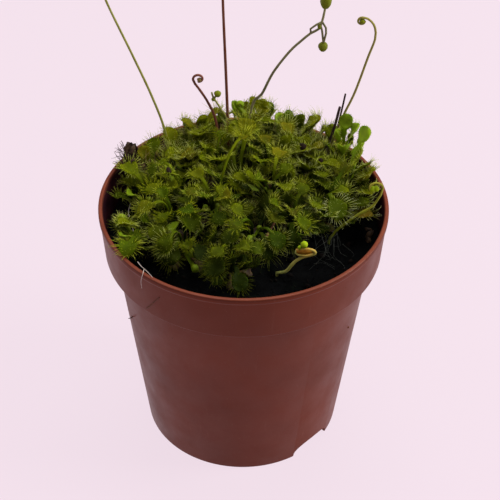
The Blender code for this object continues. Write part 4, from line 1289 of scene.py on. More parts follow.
def grow_crest(bodies):
    """Upright leaves along the back of the stand, up to the height of the crest there."""
    rng = random.Random(SEED + 2)
    heights = list(zip(*CREST))
    grown = []
    for _ in range(CREST_TRIES):
        x = rng.uniform(CREST[0][0], CREST[-1][0])
        y = math.sqrt(max(0.0, rng.uniform(22.0, 38.0) ** 2 - x * x))
        if y < 4.0:
            continue
        z = float(np.interp(x, *heights)) - rng.uniform(1.5, 8.5) - 0.15 * max(0.0, 30.0 - y)
        if x < -34.0:
            continue
        near = sorted(CROWNS, key=lambda entry: math.dist(entry[1:3], (x, y)))
        crown = rng.choice(near[:3])[0]
        leaf = extra_leaf(crown, (x, y, z), rng.uniform(15, 84), rng.uniform(-30, 30),
                          rng.uniform(3.2, 5.0))
        points, outer, tree = leaf_tree(leaf)
        if math.dist(leaf.root[:2], (x, y)) > 12 or not clear_of_pot_and_peat(points, outer):
            continue
        if any(tree.overlap(other) for other in bodies):
            continue
        bodies.append(tree)
        grown.append((leaf, "fresh" if rng.random() < 0.10 else ""))
    return grown


def grow_undergrowth(bodies, per_crown):
    """Small extra leaves in the gaps of the stand, clear of the blades that are there."""
    rng = random.Random(SEED + 1)
    grown = []
    for name, x, y, _, reach, stance in CROWNS:
        ground = soil_top(x, y)
        held = 0
        for attempt in range(90):
            if held == per_crown:
                break
            azimuth = math.radians(GOLDEN_ANGLE * attempt + rng.uniform(-20, 20))
            width = rng.uniform(2.7, 4.4)
            out = rng.uniform(0.30, 0.98) * reach
            tilt = rng.uniform(-12, 78)
            lift = rng.uniform(2.6, 9.5) + 0.5 * stance
            out, tilt, raised = fit_to_wall(x, y, azimuth, out, tilt, width / 2 + 1)
            cx, cy = x + out * math.cos(azimuth), y + out * math.sin(azimuth)
            centre = (cx, cy, min(ground + lift + raised, canopy_top(cx, cy) + 1.0))
            leaf = extra_leaf(name, centre, tilt, rng.uniform(-35, 35), width)
            points, outer, tree = leaf_tree(leaf)
            near = [p for p in points if math.hypot(p.x - x, p.y - y) > CROSSING_ZONE]
            if len(near) < len(points) - 8 or not clear_of_pot_and_peat(points, outer):
                continue
            if cx < -34.0:
                continue
            if any(tree.overlap(other) for other in bodies):
                continue
            bodies.append(tree)
            grown.append((leaf, "fresh" if rng.random() < 0.07 else ""))
            held += 1
    return grown


def crumple(shape, first, amount, fineness=0.9):
    """Shrivel the points that were added since the first one given."""
    for index in range(first, len(shape.points)):
        point = Vector(shape.points[index])
        shape.points[index] = tuple(point + noise.noise_vector(point * fineness) * amount)


def crown_heart(shape, x, y, settings, rng):
    """The middle of a rosette: its stub of stem and the smallest coiled leaves."""
    ground = soil_top(x, y)
    low = Vector((x, y, ground - 1.5))
    chain = [low + Vector((0, 0, (CROWN_RISE + 1.5) * k / 4)) for k in range(5)]
    rings = [[p + Vector((math.cos(j * math.pi / 5), math.sin(j * math.pi / 5), 0))
              * (PEG_RADIUS * (1 - 0.07 * k) * rng.uniform(0.9, 1.06)) for j in range(10)]
             for k, p in enumerate(chain)]
    shape.loft(rings, 3, [(0.2, 0.6, 0.1)] * 5, root=low,
               tip=chain[-1] + Vector((0, 0, 0.5)))
    first = rng.uniform(0, 2 * math.pi)
    for k in range(4):
        azimuth = first + math.radians(GOLDEN_ANGLE * k)
        root = (x + 0.3 * math.cos(azimuth), y + 0.3 * math.sin(azimuth), ground + CROWN_RISE - 0.6)
        away = 0.9 + 0.35 * k
        centre = (x + away * math.cos(azimuth), y + away * math.sin(azimuth),
                  ground + CROWN_RISE + 1.3 + 0.5 * k)
        leaf = Leaf("", root, centre, azimuth, math.radians(70 - 8 * k), 0.0, 1.4 + 0.25 * k, True)
        crozier(shape, leaf, habit_of(leaf, settings, rng), rng)


# Operators: one for each piece or group of like pieces, and one for the stage

class SundewSettings(bpy.types.PropertyGroup):
    """Sizes and colours that someone who reuses the plant may want to change."""

    pot_colour: bpy.props.FloatVectorProperty(
        name="Pot", description="Colour of the moulded plastic", subtype="COLOR",
        default=(0.116, 0.0180, 0.0058), min=0.0, max=1.0)
    peat_colour: bpy.props.FloatVectorProperty(
        name="Peat", description="Colour of the damp peat", subtype="COLOR",
        default=(0.0018, 0.0019, 0.0023), min=0.0, max=1.0)
    leaf_colour: bpy.props.FloatVectorProperty(
        name="Leaf", description="Colour of a fresh leaf", subtype="COLOR",
        default=(0.060, 0.099, 0.0006), min=0.0, max=1.0)
    ripe_colour: bpy.props.FloatVectorProperty(
        name="Ripe leaf", description="Colour of a ripe, yellower leaf", subtype="COLOR",
        default=(0.176, 0.184, 0.0010), min=0.0, max=1.0)
    fringe_length: bpy.props.FloatProperty(
        name="Fringe", description="Length of the tentacles round a blade", unit="LENGTH",
        default=3.4 * MM, min=0.5 * MM, max=4.0 * MM)
    fringe_count: bpy.props.IntProperty(
        name="Tentacles", description="Tentacles round the edge of a blade",
        default=38, min=8, max=60)
    undergrowth: bpy.props.IntProperty(
        name="Small leaves", description="Small extra leaves at each crown",
        default=7, min=0, max=12)
    crumbs: bpy.props.IntProperty(
        name="Crumbs", description="Loose crumbs and bark bits on the peat",
        default=1500, min=0, max=4000)
    moss: bpy.props.IntProperty(
        name="Moss", description="Tufts of moss along the back edge and between the crowns",
        default=620, min=0, max=1500)
    floor_colour: bpy.props.FloatVectorProperty(
        name="Floor", description="Colour of the pale floor", subtype="COLOR",
        default=(0.905, 0.760, 0.845), min=0.0, max=1.0)
    key_power: bpy.props.FloatProperty(
        name="Key light", description="Power of the large light overhead",
        default=9.5, min=0.0, max=50.0)


def settings_of(context):
    return context.scene.sundew


def rounded(profile, radius, steps=3):
    """A profile with its corners rounded off."""
    points = [profile[0]]
    for before, corner, after in zip(profile, profile[1:], profile[2:]):
        before, corner, after = Vector(before), Vector(corner), Vector(after)
        cut_a = min(radius, (before - corner).length * 0.45)
        cut_b = min(radius, (after - corner).length * 0.45)
        a = corner + (before - corner).normalized() * cut_a
        b = corner + (after - corner).normalized() * cut_b
        for k in range(steps + 1):
            t = k / steps
            point = a * (1 - t) ** 2 + corner * (2 * t * (1 - t)) + b * t ** 2
            points.append(tuple(point))
    points.append(profile[-1])
    return points


def lathe(shape, profile, sides, finish, lift=None):
    """Turn a profile of (radius, height) about the pot's axis; both ends lie on the axis."""
    rings = []
    for radius, height in profile[1:-1]:
        ring = []
        for k in range(sides):
            angle = 2 * math.pi * k / sides
            spot = Vector((radius * math.cos(angle), radius * math.sin(angle), height))
            ring.append(lift(spot) if lift else spot)
        rings.append(ring)
    ends = [Vector((0, 0, profile[0][1])), Vector((0, 0, profile[-1][1]))]
    shape.loft(rings, finish, [(0.0, 0.0, 0.0)] * len(rings), root=ends[0],
               tip=lift(ends[1]) if lift else ends[1])


def pot_profile():
    """The pot's outline, from the middle of its underside out, up and in to its floor."""
    step_z = POT_HEIGHT - BAND_HEIGHT
    lip_inner = RIM_RADIUS - LIP_WIDTH
    floor_top = FLOOR_UNDERSIDE + FLOOR_THICKNESS
    return rounded((
        (0.0, FLOOR_UNDERSIDE),
        (band_radius(FLOOR_UNDERSIDE) - FOOT_WIDTH, FLOOR_UNDERSIDE),
        (FOOT_RADIUS - FOOT_WIDTH, 0.0),
        (FOOT_RADIUS, 0.0),
        (STEP_RADIUS, step_z - STEP_DEPTH),
        (BAND_FOOT_RADIUS, step_z),
        (RIM_RADIUS - LIP_PROUD, POT_HEIGHT - LIP_DEPTH - LIP_PROUD),
        (RIM_RADIUS, POT_HEIGHT - LIP_DEPTH),
        (RIM_RADIUS, POT_HEIGHT),
        (lip_inner, POT_HEIGHT),
        (BAND_FOOT_RADIUS - WALL, step_z + WALL * 0.6),
        (STEP_RADIUS - WALL, step_z - STEP_DEPTH),
        (band_radius(floor_top) - WALL, floor_top),
        (0.0, floor_top),
    ), 0.45)


def add_cutter(group, name, outline, near, far, turn=0.0, upright=False):
    """A prism with the given outline, lying along one direction or standing upright."""
    if upright:
        points = [Vector((x, y, z)) for z in (near, far) for x, y in outline]
    else:
        points = [Vector((r, across, up)) for r in (near, far) for across, up in outline]
    count = len(outline)
    faces = [tuple(range(count)), tuple(range(2 * count - 1, count - 1, -1))]
    faces += [(k, k + count, (k + 1) % count + count, (k + 1) % count) for k in range(count)]
    mesh = bpy.data.meshes.new(name)
    mesh.from_pydata([point * MM for point in points], [], faces)
    shape = bmesh.new()
    shape.from_mesh(mesh)
    bmesh.ops.recalc_face_normals(shape, faces=shape.faces)
    shape.to_mesh(mesh)
    shape.free()
    cutter = bpy.data.objects.new(name, mesh)
    cutter.rotation_euler.z = math.radians(turn)
    group.objects.link(cutter)


class SUNDEW_OT_pot(bpy.types.Operator):
    """Build the moulded pot with its lip, band, step, foot notches and drain holes"""

    bl_idname = "sundew.pot"
    bl_label = "Pot"

    def execute(self, context):
        shape = Shape()
        lathe(shape, pot_profile(), 168, 0)
        finishes = [pot_plastic(settings_of(context)), painted_shade_wall()]
        pot = shape.make("moulded_pot", finishes, "pot_plastic", ["pot"])
        # Faces on the inside take the painted shade of the inner wall
        for face in pot.data.polygons:
            centre = face.center / MM
            inside = math.hypot(centre.x, centre.y) < inner_radius(centre.z) + 0.4
            if inside and centre.z > FLOOR_UNDERSIDE + 0.5:
                face.material_index = 1
        group = bpy.data.collections.new("pot_cutters")
        context.scene.collection.children.link(group)
        half = NOTCH_WIDTH / 2
        arch = [(-half - 0.6, -1.0)]
        for k in range(19):
            angle = math.pi * (1 - k / 18)
            arch.append((half * math.cos(angle), NOTCH_HEIGHT * math.sin(angle) ** 0.7))
        arch.append((half + 0.6, -1.0))
        for index, azimuth in enumerate(NOTCH_AZIMUTHS):
            add_cutter(group, f"notch_{index}", arch, FOOT_RADIUS - 7, FOOT_RADIUS + 4, azimuth)
        for index in range(DRAIN_COUNT):
            angle = 2 * math.pi * (index + 0.25) / DRAIN_COUNT
            x, y = DRAIN_CIRCLE * math.cos(angle), DRAIN_CIRCLE * math.sin(angle)
            round_hole = [(x + DRAIN_RADIUS * math.cos(2 * math.pi * k / 32),
                           y + DRAIN_RADIUS * math.sin(2 * math.pi * k / 32)) for k in range(32)]
            add_cutter(group, f"drain_{index}", round_hole, FLOOR_UNDERSIDE - 1,
                       FLOOR_UNDERSIDE + FLOOR_THICKNESS + 1, upright=True)
        cut = pot.modifiers.new("cut", "BOOLEAN")
        cut.operand_type = "COLLECTION"
        cut.collection = group
        context.view_layer.update()
        graph = context.evaluated_depsgraph_get()
        pot_mesh = bpy.data.meshes.new_from_object(pot.evaluated_get(graph))
        pot.modifiers.clear()
        pot.data = pot_mesh
        pot.data.set_sharp_from_angle(angle=math.radians(32))
        for cutter in list(group.objects):
            bpy.data.objects.remove(cutter)
        bpy.data.collections.remove(group)
        if len(pot.data.polygons) < 1000:
            raise RuntimeError("the pot lost its walls when its holes were cut")
        return {"FINISHED"}


def rough_peat(spot):
    """Drop or raise a point of the peat's top so that it looks loose, lowest at the wall."""
    radius = math.hypot(spot.x, spot.y)
    height = soil_top(spot.x, spot.y)
    rough = (noise.noise(spot * 0.16) * 1.0 + noise.noise(spot * 0.45) * 0.7
             + noise.noise(spot * 1.2) * 0.38)
    ease = min(1.0, max(0.0, (inner_radius(height) - radius) / 3.0))
    return Vector((spot.x, spot.y, height + rough * (0.35 + 0.65 * ease) - 0.25))


def crumb(shape, centre, size, rng, finish=0):
    """An irregular lump of peat or bark."""
    axes = [Vector((rng.gauss(0, 1), rng.gauss(0, 1), rng.gauss(0, 1))).normalized()]
    axes.append(axes[0].cross(Vector((0.2, 0.5, 0.84))).normalized())
    axes.append(axes[0].cross(axes[1]))
    axes = [axis * (size * rng.uniform(0.45, 1.0)) for axis in axes]
    first = len(shape.points)
    shape.ball(centre, axes, 3, 5, finish, (rng.random() ** 2, 0.0, 0.0))
    for index in range(first, len(shape.points)):
        point = Vector(shape.points[index])
        shape.points[index] = tuple(centre + (point - centre) * rng.uniform(0.7, 1.15))


class SUNDEW_OT_peat(bpy.types.Operator):
    """Build the plug of peat, its rough top, and the crumbs and bark bits that lie on it"""

    bl_idname = "sundew.peat"
    bl_label = "Peat"

    def execute(self, context):
        settings = settings_of(context)
        finish = damp_peat(settings)
        floor = FLOOR_UNDERSIDE + FLOOR_THICKNESS + GAP
        step_z = POT_HEIGHT - BAND_HEIGHT
        edge_z = POT_HEIGHT - SOIL_EDGE_DROP
        side = WALL + GAP
        edge = band_radius(edge_z) - side
        profile = [(0.0, floor), (band_radius(floor) - side - 1.4, floor),
                   (band_radius(floor + 1.2) - side - 0.1, floor + 1.2),
                   (STEP_RADIUS - side - 0.2, step_z - STEP_DEPTH - 0.2),
                   (BAND_FOOT_RADIUS - side, step_z + WALL * 0.6)]
        top = [(edge * (1 - (k / 46) ** 1.0), edge_z) for k in range(47)]
        shape = Shape()

        def lift(spot):
            return rough_peat(spot) if spot.z > edge_z - 0.01 else spot

        lathe(shape, profile + top, 150, 0, lift)
        shape.make("peat_plug", [finish], "peat", ["soil"])
        rng = random.Random(5)
        bits = Shape()
        for index in range(settings.crumbs):
            radius = edge * math.sqrt(rng.random()) * 0.985
            angle = rng.uniform(0, 2 * math.pi)
            size = rng.uniform(0.18, 0.55) if index % 14 else rng.uniform(0.8, 1.5)
            radius = min(radius, edge - size - 0.4)
            spot = Vector((radius * math.cos(angle), radius * math.sin(angle), 0))
            spot.z = rough_peat(spot).z + size * 0.15
            crumb(bits, spot, size, rng)
        bits.make("peat_crumbs", [finish], "peat")
        return {"FINISHED"}


class SUNDEW_OT_rosettes(bpy.types.Operator):
    """Grow the sundew rosettes: leaves, tentacles, dew beads and young coiled leaves"""

    bl_idname = "sundew.rosettes"
    bl_label = "Rosettes"

    def execute(self, context):
        settings = settings_of(context)
        finishes = [leaf_green(settings), tentacle_pale(settings), dew_drop(),
                    plain_finish("crown_husk", (0.018, 0.015, 0.006), (0.040, 0.034, 0.012),
                                 700.0, 0.75), young_skin(),
                    plain_finish("withered_bud", DEAD_BROWN, (0.014, 0.008, 0.006), 900.0, 0.9)]
        leaves = [(leaf, "") for leaf in grow_leaves()]
        for crown, cx, cy, cz, tilt, width, kind in EXTRA_LEAVES:
            leaf = extra_leaf(crown, (cx, cy, cz), tilt, 0.0, width, kind == "coiled")
            leaves.append((leaf, kind))
        bodies = [leaf_tree(leaf, 0.05)[2] for leaf, _ in leaves]
        bodies += [BVHTree.FromPolygons(*stalk_hull(stalk)) for stalk in STALKS]
        leaves += grow_crest(bodies)
        leaves += grow_undergrowth(bodies, settings.undergrowth)
        budded = [min((leaf for leaf, _ in leaves), key=lambda leaf: math.dist(leaf.centre, spot))
                  for spot in WITHERED_BUDS]
        for name, x, y, *_ in CROWNS:
            shape = Shape()
            rng = random.Random("rosette " + name)
            crown_heart(shape, x, y, settings, rng)
            for leaf, kind in leaves:
                if leaf.crown != name:
                    continue
                habit = habit_of(leaf, settings, rng, kind)
                if leaf.young:
                    crozier(shape, leaf, habit, rng)
                else:
                    leaf_skin(shape, leaf, habit, habit.skin)
                    leaf_fringe(shape, leaf, habit, rng)
                if leaf in budded:
                    crumb(shape, blade_spot(leaf, habit, 0.1, 0.1) + Vector((0, 0, 0.8)), 1.7, rng, 5)
            shape.make(f"sundew_{name}", finishes, "leaf_green", [f"rosette_{name}"])
        return {"FINISHED"}


def stem_tube(shape, chain, thick, thin, finish, sides=10):
    """A smooth tapering stem along a chain of points, its cross-section carried along."""
    across = Vector((1, 0, 0))
    rings, shades = [], []
    for index, point in enumerate(chain):
        before = chain[max(0, index - 1)]
        after = chain[min(len(chain) - 1, index + 1)]
        heading = (after - before).normalized()
        across = (across - heading * across.dot(heading)).normalized()
        over = heading.cross(across)
        share = index / (len(chain) - 1)
        radius = (thick + (thin - thick) * share) * (1 + 0.06 * noise.noise(point * 0.5))
        rings.append([point + (across * math.cos(2 * math.pi * j / sides)
                               + over * math.sin(2 * math.pi * j / sides)) * radius
                      for j in range(sides)])
        shades.append((0.0, 0.0, share))
    heading = (chain[-1] - chain[-2]).normalized()
    shape.loft(rings, finish, shades, root=chain[0], tip=chain[-1] + heading * thin * 0.8)


def bud(shape, centre, wide, tall, finish, rng):
    """A flower bud: an egg with five shallow ridges where its sepals meet."""
    lean = Vector((rng.uniform(-0.25, 0.25), rng.uniform(-0.25, 0.25), 1)).normalized()
    across = lean.cross(Vector((0.3, 1, 0.1))).normalized()
    over = lean.cross(across)
    first = len(shape.points)
    shape.ball(centre, (across * wide, over * wide, lean * tall), 7, 15, finish, (0.9, 0.0, 0.7))
    for index in range(first, len(shape.points)):
        out = Vector(shape.points[index]) - centre
        angle = math.atan2(out.dot(over), out.dot(across))
        height = out.dot(lean)
        ridge = (1 + 0.07 * math.cos(5 * angle)) * (1 - 0.20 * (height / tall) ** 2)
        rise = lean * height
        shape.points[index] = tuple(centre + rise + (out - rise) * ridge)


# Colours at foot and tip, and roughness; by slot, or by stalk where one differs
STEM_FINISHES = {
    "stalk_far_right": ((0.300, 0.250, 0.080), (0.230, 0.200, 0.030), 0.45),
    "stalk_green": ((0.260, 0.250, 0.050), (0.300, 0.290, 0.080), 0.42),
    "stalk_hook": ((0.130, 0.040, 0.026), (0.240, 0.090, 0.060), 0.42, (0.240, 0.170, 0.060)),
    "stalk_red": ((0.120, 0.036, 0.020), (0.180, 0.062, 0.032), 0.42),
    "stalk_grey": ((0.130, 0.110, 0.060), (0.260, 0.240, 0.110), 0.45, (0.125, 0.140, 0.001)),
    "stalk_yellow": ((0.150, 0.170, 0.010), (0.400, 0.350, 0.045), 0.42, (0.230, 0.320, 0.002)),
    "stub_brown": ((0.026, 0.015, 0.014), (0.060, 0.036, 0.034), 0.75),
    "shoot_cream": ((0.320, 0.350, 0.090), (0.520, 0.280, 0.050), 0.40, (0.280, 0.400, 0.003)),
}

SLIM_STALKS = {"shoot_pale": 0.80, "stalk_right": 1.05, "stub_dark": 1.15}

# Small buds and side stems that only the finished stalks have
SIDE_STEMS = {
    "stalk_right": (((21.9, 30.0, 123.8), (22.4, 30.0, 121.9), (22.9, 30.0, 118.0)),),
    "shoot_pale": (((15.1, -19.6, 80.3), (14.9, -19.9, 79.6), (15.8, -20.4, 79.2),
                    (17.8, -20.5, 79.1), (19.8, -20.1, 79.6)),),
}
SIDE_BUDS = {
    "stalk_hook": ((-13.45, 30.5, 103.9, 0.75, 0.75),),
    "stalk_right": ((21.6, 29.9, 123.4, 0.60, 0.95),),
}


class SUNDEW_OT_stalks(bpy.types.Operator):
    """Raise the flower stalks, their curled tips and buds, the dry stubs and the pale shoot"""

    bl_idname = "sundew.stalks"
    bl_label = "Flower stalks"

    def execute(self, context):
        finishes = {name: stem_finish(name + "_finish", *values)
                    for name, values in STEM_FINISHES.items()}
        for stalk in STALKS:
            rng = random.Random(stalk.name)
            shape = Shape()
            chain = stalk_route(stalk, FINE_STALK_STEP, FINE_CURL_STEP)
            slim = SLIM_STALKS.get(stalk.name, STALK_SLIM)
            stem_tube(shape, chain, stalk.thick * slim, stalk.thin * slim, 0)
            for twig in stalk.twigs + SIDE_STEMS.get(stalk.name, ()):
                stem_tube(shape, [Vector(point) for point in twig], TWIG_RADIUS, TWIG_RADIUS, 0, 8)
            for x, y, z, wide, tall in (stalk.buds + curl_buds(stalk)
                                        + SIDE_BUDS.get(stalk.name, ())):
                bud(shape, Vector((x, y, z)), wide, tall, 0, rng)
            if stalk.name == "shoot_pale":
                shape.ball(Vector((17.4, -19.9, 80.1)), (Vector((0, 0.7, 0)), Vector((0, 0, 0.9)),
                                                         Vector((2.5, 0, 0.1))), 7, 12, 1, (0, 0, 0.5))
            finish = finishes.get(stalk.name, finishes[stalk.colour])
            pocket = plain_finish("shoot_pocket", (0.200, 0.062, 0.004), (0.330, 0.150, 0.010), 1100, 0.5)
            shape.make(stalk.name + "_stem", [finish, pocket], stalk.colour, [stalk.name])
        return {"FINISHED"}


class SUNDEW_OT_moss(bpy.types.Operator):
    """Sow moss between the crowns and in a tall fringe against the wall at the back left"""

    bl_idname = "sundew.moss"
    bl_label = "Moss"

    def execute(self, context):
        rng = random.Random(11)
        shape = Shape()
        for index in range(settings_of(context).moss):
            fringe = index % 3 == 0
            left = index % 2 == 0
            if fringe:
                angle = math.radians(rng.uniform(100, 150) if left else rng.uniform(48, 78))
                radius = rng.uniform(34.5, 39.4)
            else:
                angle = rng.uniform(0, 2 * math.pi)
                radius = 37.0 * math.sqrt(rng.random())
                y = radius * math.sin(angle)
                if y < -14 or (y < 2 and radius * math.cos(angle) > 8):
                    continue
            x, y = radius * math.cos(angle), radius * math.sin(angle)
            foot = Vector((x, y, soil_top(x, y) - 0.4))
            tall = rng.uniform(10.5, 16.0) if fringe else rng.uniform(1.4, 3.6)
            lean = Vector((x, y, 0)) * (0.22 / radius if fringe else 0.0)
            ripe, rust = rng.random(), rng.random() * (1.0 if fringe and left else 0.3)
            for _ in range(10 if fringe else 8):
                spread = 0.22 if fringe else 0.5
                line = (Vector((rng.gauss(0, spread), rng.gauss(0, spread), 1)) + lean).normalized()
                bend = Vector((rng.gauss(0, 0.2), rng.gauss(0, 0.2), -0.1))
                length = tall * rng.uniform(0.6, 1.1)
                start = foot + Vector((rng.gauss(0, 0.5), rng.gauss(0, 0.5), 0))
                chain = [start + line * (length * t) + bend * (length * t * t)
                         for t in (0.0, 0.35, 0.7, 1.0)]
                if any(math.hypot(p.x, p.y) > (40.4 if p.z < POT_HEIGHT + 0.5 else RIM_RADIUS)
                       for p in chain):
                    continue
                shape.thread(chain, (0.10, 0.12, 0.08), 3, 0,
                             [(ripe, rust, t) for t in (0.0, 0.35, 0.7, 1.0)])
        moss = Finish("moss_strands", {"Specular IOR Level": 0.2})
        colour = moss.mix(moss.shade("ripe"), (0.045, 0.070, 0.004), (0.150, 0.170, 0.018))
        colour = moss.mix(moss.shade("rust"), colour, (0.300, 0.150, 0.080))
        colour = moss.mix(moss.span(moss.shade("reach"), 0.0, 0.6), (0.012, 0.014, 0.004), colour)
        moss.colour(colour)
        moss.roughness(moss.span(moss.noise(800.0), 0.3, 0.7, 0.6, 0.9))
        shape.make("moss_tufts", [moss.material], "leaf_green")
        return {"FINISHED"}


def wall_point(azimuth, height, proud=0.0):
    """A point on the pot's outer wall."""
    radius = band_radius(height) + proud
    angle = math.radians(azimuth)
    return Vector((radius * math.cos(angle), radius * math.sin(angle), height))


def curve_through(points, pieces=5):
    """A smooth chain of points through the given ones."""
    knots = [Vector(point) for point in points]
    knots = [knots[0] * 2 - knots[1]] + knots + [knots[-1] * 2 - knots[-2]]
    chain = []
    for before, a, b, after in zip(knots, knots[1:], knots[2:], knots[3:]):
        for k in range(pieces):
            t = k / pieces
            chain.append(0.5 * (a * 2 + (b - before) * t + (before * 2 - a * 5 + b * 4 - after) * t ** 2
                                + (a * 3 - before - b * 3 + after) * t ** 3))
    chain.append(knots[-2])
    return chain


# Fine roots and hairs: points in millimetres, and thickness
ROOT_THREADS = (
    (((-29.6, -26.9, 81.9), (-28.6, -28.9, 82.2), (-27.0, -31.0, 82.3), (-25.1, -33.6, 82.1)), 0.11),
    (((-27.6, -30.4, 82.3), (-27.9, -32.2, 82.0), (-28.5, -31.7, 79.0), (-28.4, -31.4, 76.0)), 0.10),
    (((-35.6, -6.6, 75.4), (-34.6, -4.0, 76.6), (-33.2, -2.4, 77.2), (-32.4, -5.4, 76.4),
      (-31.8, -8.3, 75.8)), 0.11),
    (((-33.3, -2.4, 77.2), (-33.9, 0.6, 77.6), (-33.4, 3.4, 78.4)), 0.09),
    (((22.6, -5.2, 76.0), (24.2, -7.2, 74.6), (24.8, -10.8, 72.6), (26.9, -14.3, 71.7)), 0.055),
    (((26.1, -5.2, 75.6), (25.6, -8.6, 73.8), (23.8, -12.1, 72.4), (21.7, -14.7, 71.9)), 0.050),
    (((24.1, -12.1, 72.0), (26.8, -14.0, 72.2), (28.6, -15.2, 71.8), (29.5, -17.4, 71.4)), 0.045),
    (((20.4, -16.0, 72.2), (23.4, -16.2, 72.6), (26.4, -18.0, 71.8)), 0.045),
)
PALE_ROOTS = 4
FINE_HAIRS = 16

# Withered leaves that lean over the rim at the far left: x, y, z, roll and width
WITHERED_LEAVES = ((-35.4, 18.7, 82.9, 35, 3.7), (-34.2, 21.4, 83.4, -30, 3.2),
                   (-34.6, 16.4, 82.5, -60, 3.4))

TWIG = ((4.4, -16.8, 78.4), (6.0, -14.4, 79.6), (7.6, -11.2, 80.4), (9.2, -7.4, 80.8))


class SUNDEW_OT_litter(bpy.types.Operator):
    """Strew root threads, a dry twig, dead leaves and straws over the peat, rim and wall"""

    bl_idname = "sundew.litter"
    bl_label = "Litter"

    def execute(self, context):
        rng = random.Random(3)
        threads = Shape()
        for index, (points, thick) in enumerate(ROOT_THREADS):
            chain = curve_through(points)
            stem_tube(threads, chain, thick, thick * 0.6, 0 if index < PALE_ROOTS else 1, 5)
        for _ in range(FINE_HAIRS):
            x, y = rng.uniform(20.0, 30.0), rng.uniform(-11.0, -5.0)
            start = Vector((x, y, rng.uniform(74.5, 78.0)))
            end = Vector((x + rng.gauss(0.0, 3.5), y - rng.uniform(0.5, 8.0), 0))
            end.z = soil_top(end.x, end.y) + 0.3
            middle = (start + end) / 2 + Vector((rng.gauss(0, 1.8), rng.gauss(0, 1.2), -0.8))
            stem_tube(threads, curve_through((start, middle, end)), 0.055, 0.035, 1, 3)
        threads.make("root_threads", [
            plain_finish("root_pale", (0.40, 0.34, 0.30), (0.62, 0.54, 0.50), 900.0, 0.6),
            plain_finish("root_grey", (0.022, 0.024, 0.020), (0.060, 0.062, 0.055), 900.0, 0.7),
        ], "shoot_cream")
        dry = Shape()
        stem_tube(dry, curve_through(TWIG), 0.42, 0.30, 0, 7)
        straw = [wall_point(228.6, 68.0, 0.14), wall_point(231.2, 70.4, 0.3),
                 wall_point(233.6, 73.0, 0.40), wall_point(236.2, 75.7, 0.14)]
        stem_tube(dry, curve_through(straw), 0.16, 0.10, 0, 5)
        chip = [wall_point(203.6, 49.2, 0.1), wall_point(205.0, 49.8, 0.6),
                wall_point(205.6, 50.2, 1.6)]
        stem_tube(dry, curve_through(chip), 0.20, 0.12, 0, 5)
        for azimuth, height, size in ((330.9, 48.5, 0.55), (313.4, 76.1, 0.22), (236.9, 56.3, 0.20)):
            crumb(dry, wall_point(azimuth, height, 0.10), size, rng)
        for azimuth in (-7, -4, 0, 171, 176):
            at = math.radians(azimuth)
            first = len(dry.points)
            crumb(dry, Vector((37.2 * math.cos(at), 37.2 * math.sin(at), 71.6)), 1.9, rng, 1)
            crumple(dry, first, 1.2)
        dead = Finish("dead_leaf", {"Specular IOR Level": 0.25})
        for name, x, y, *_ in CROWNS:
            for k in range(4):
                azimuth = rng.uniform(0, 2 * math.pi)
                away = rng.uniform(3.0, 6.0)
                cx, cy = x + away * math.cos(azimuth), y + away * math.sin(azimuth)
                if math.hypot(cx, cy) > 36.5:
                    continue
                leaf = Leaf(name, (x + 0.8 * math.cos(azimuth), y + 0.8 * math.sin(azimuth),
                                   soil_top(x, y) + 0.6),
                            (cx, cy, soil_top(cx, cy) + rng.uniform(0.7, 1.6)), azimuth,
                            math.radians(rng.uniform(-14, 6)), math.radians(rng.uniform(-30, 30)),
                            rng.uniform(2.6, 4.0), False)
                habit = Habit(rng.uniform(-1.4, 1.4), rng.uniform(-1.2, 0.4), 0.2, 0.8, 1.2, 14, 0,
                              0.0, 1)
                first = len(dry.points)
                leaf_skin(dry, leaf, habit, 1)
                crumple(dry, first, 0.5)
        for cx, cy, cz, roll, width in WITHERED_LEAVES:
            withered = extra_leaf("m", (cx, cy, cz), 30, roll, width)
            first = len(dry.points)
            leaf_skin(dry, withered, Habit(2.6, 2.2, 0.2, 0.8, 2.0, 20, 0, 0.0, 1), 1)
            crumple(dry, first, 0.9)
            crumple(dry, first, 0.5, 2.4)
            for k in range(12):
                start = Vector((cx, cy, cz + 0.3))
                away = Vector((-0.8, rng.uniform(-1.0, 1.0), rng.uniform(-0.3, 0.8))).normalized()
                turn, size = rng.uniform(0, 6.0), rng.uniform(0.5, 1.2)
                chain = [start + away * (width * 1.25 * t / 9) + Vector((
                    0, math.sin(turn + t * 0.6) * size, math.cos(turn + t * 0.6) * size)) * (t / 7)
                    for t in range(10)]
                stem_tube(dry, chain, 0.085, 0.05, 1, 4)
        brown = dead.span(dead.noise(420.0, 4.0), 0.35, 0.65)
        dead.colour(dead.mix(brown, DEAD_BROWN, (0.075, 0.038, 0.014)))
        dead.roughness(dead.span(brown, 0.0, 1.0, 0.55, 0.9))
        dead.bump(dead.noise(1500.0, 4.0), 0.6, 0.2)
        dry.make("dry_litter", [plain_finish(
            "twig_brown", (0.055, 0.022, 0.013), (0.160, 0.060, 0.030), 800.0, 0.7),
            dead.material], "stub_brown")
        return {"FINISHED"}


def aim(thing, target):
    """Turn a light so that it shines at a point in millimetres."""
    heading = Vector(target) * MM - thing.location
    thing.rotation_euler = heading.to_track_quat("-Z", "Y").to_euler()


def area_light(name, place_mm, target, size, power, colour=(1.0, 1.0, 1.0)):
    light = bpy.data.lights.new(name, "AREA")
    light.shape = "RECTANGLE"
    light.size, light.size_y = size[0] * MM, size[1] * MM
    light.energy = power
    light.color = colour
    lamp = bpy.data.objects.new(name, light)
    bpy.context.scene.collection.objects.link(lamp)
    lamp.location = Vector(place_mm) * MM
    aim(lamp, target)


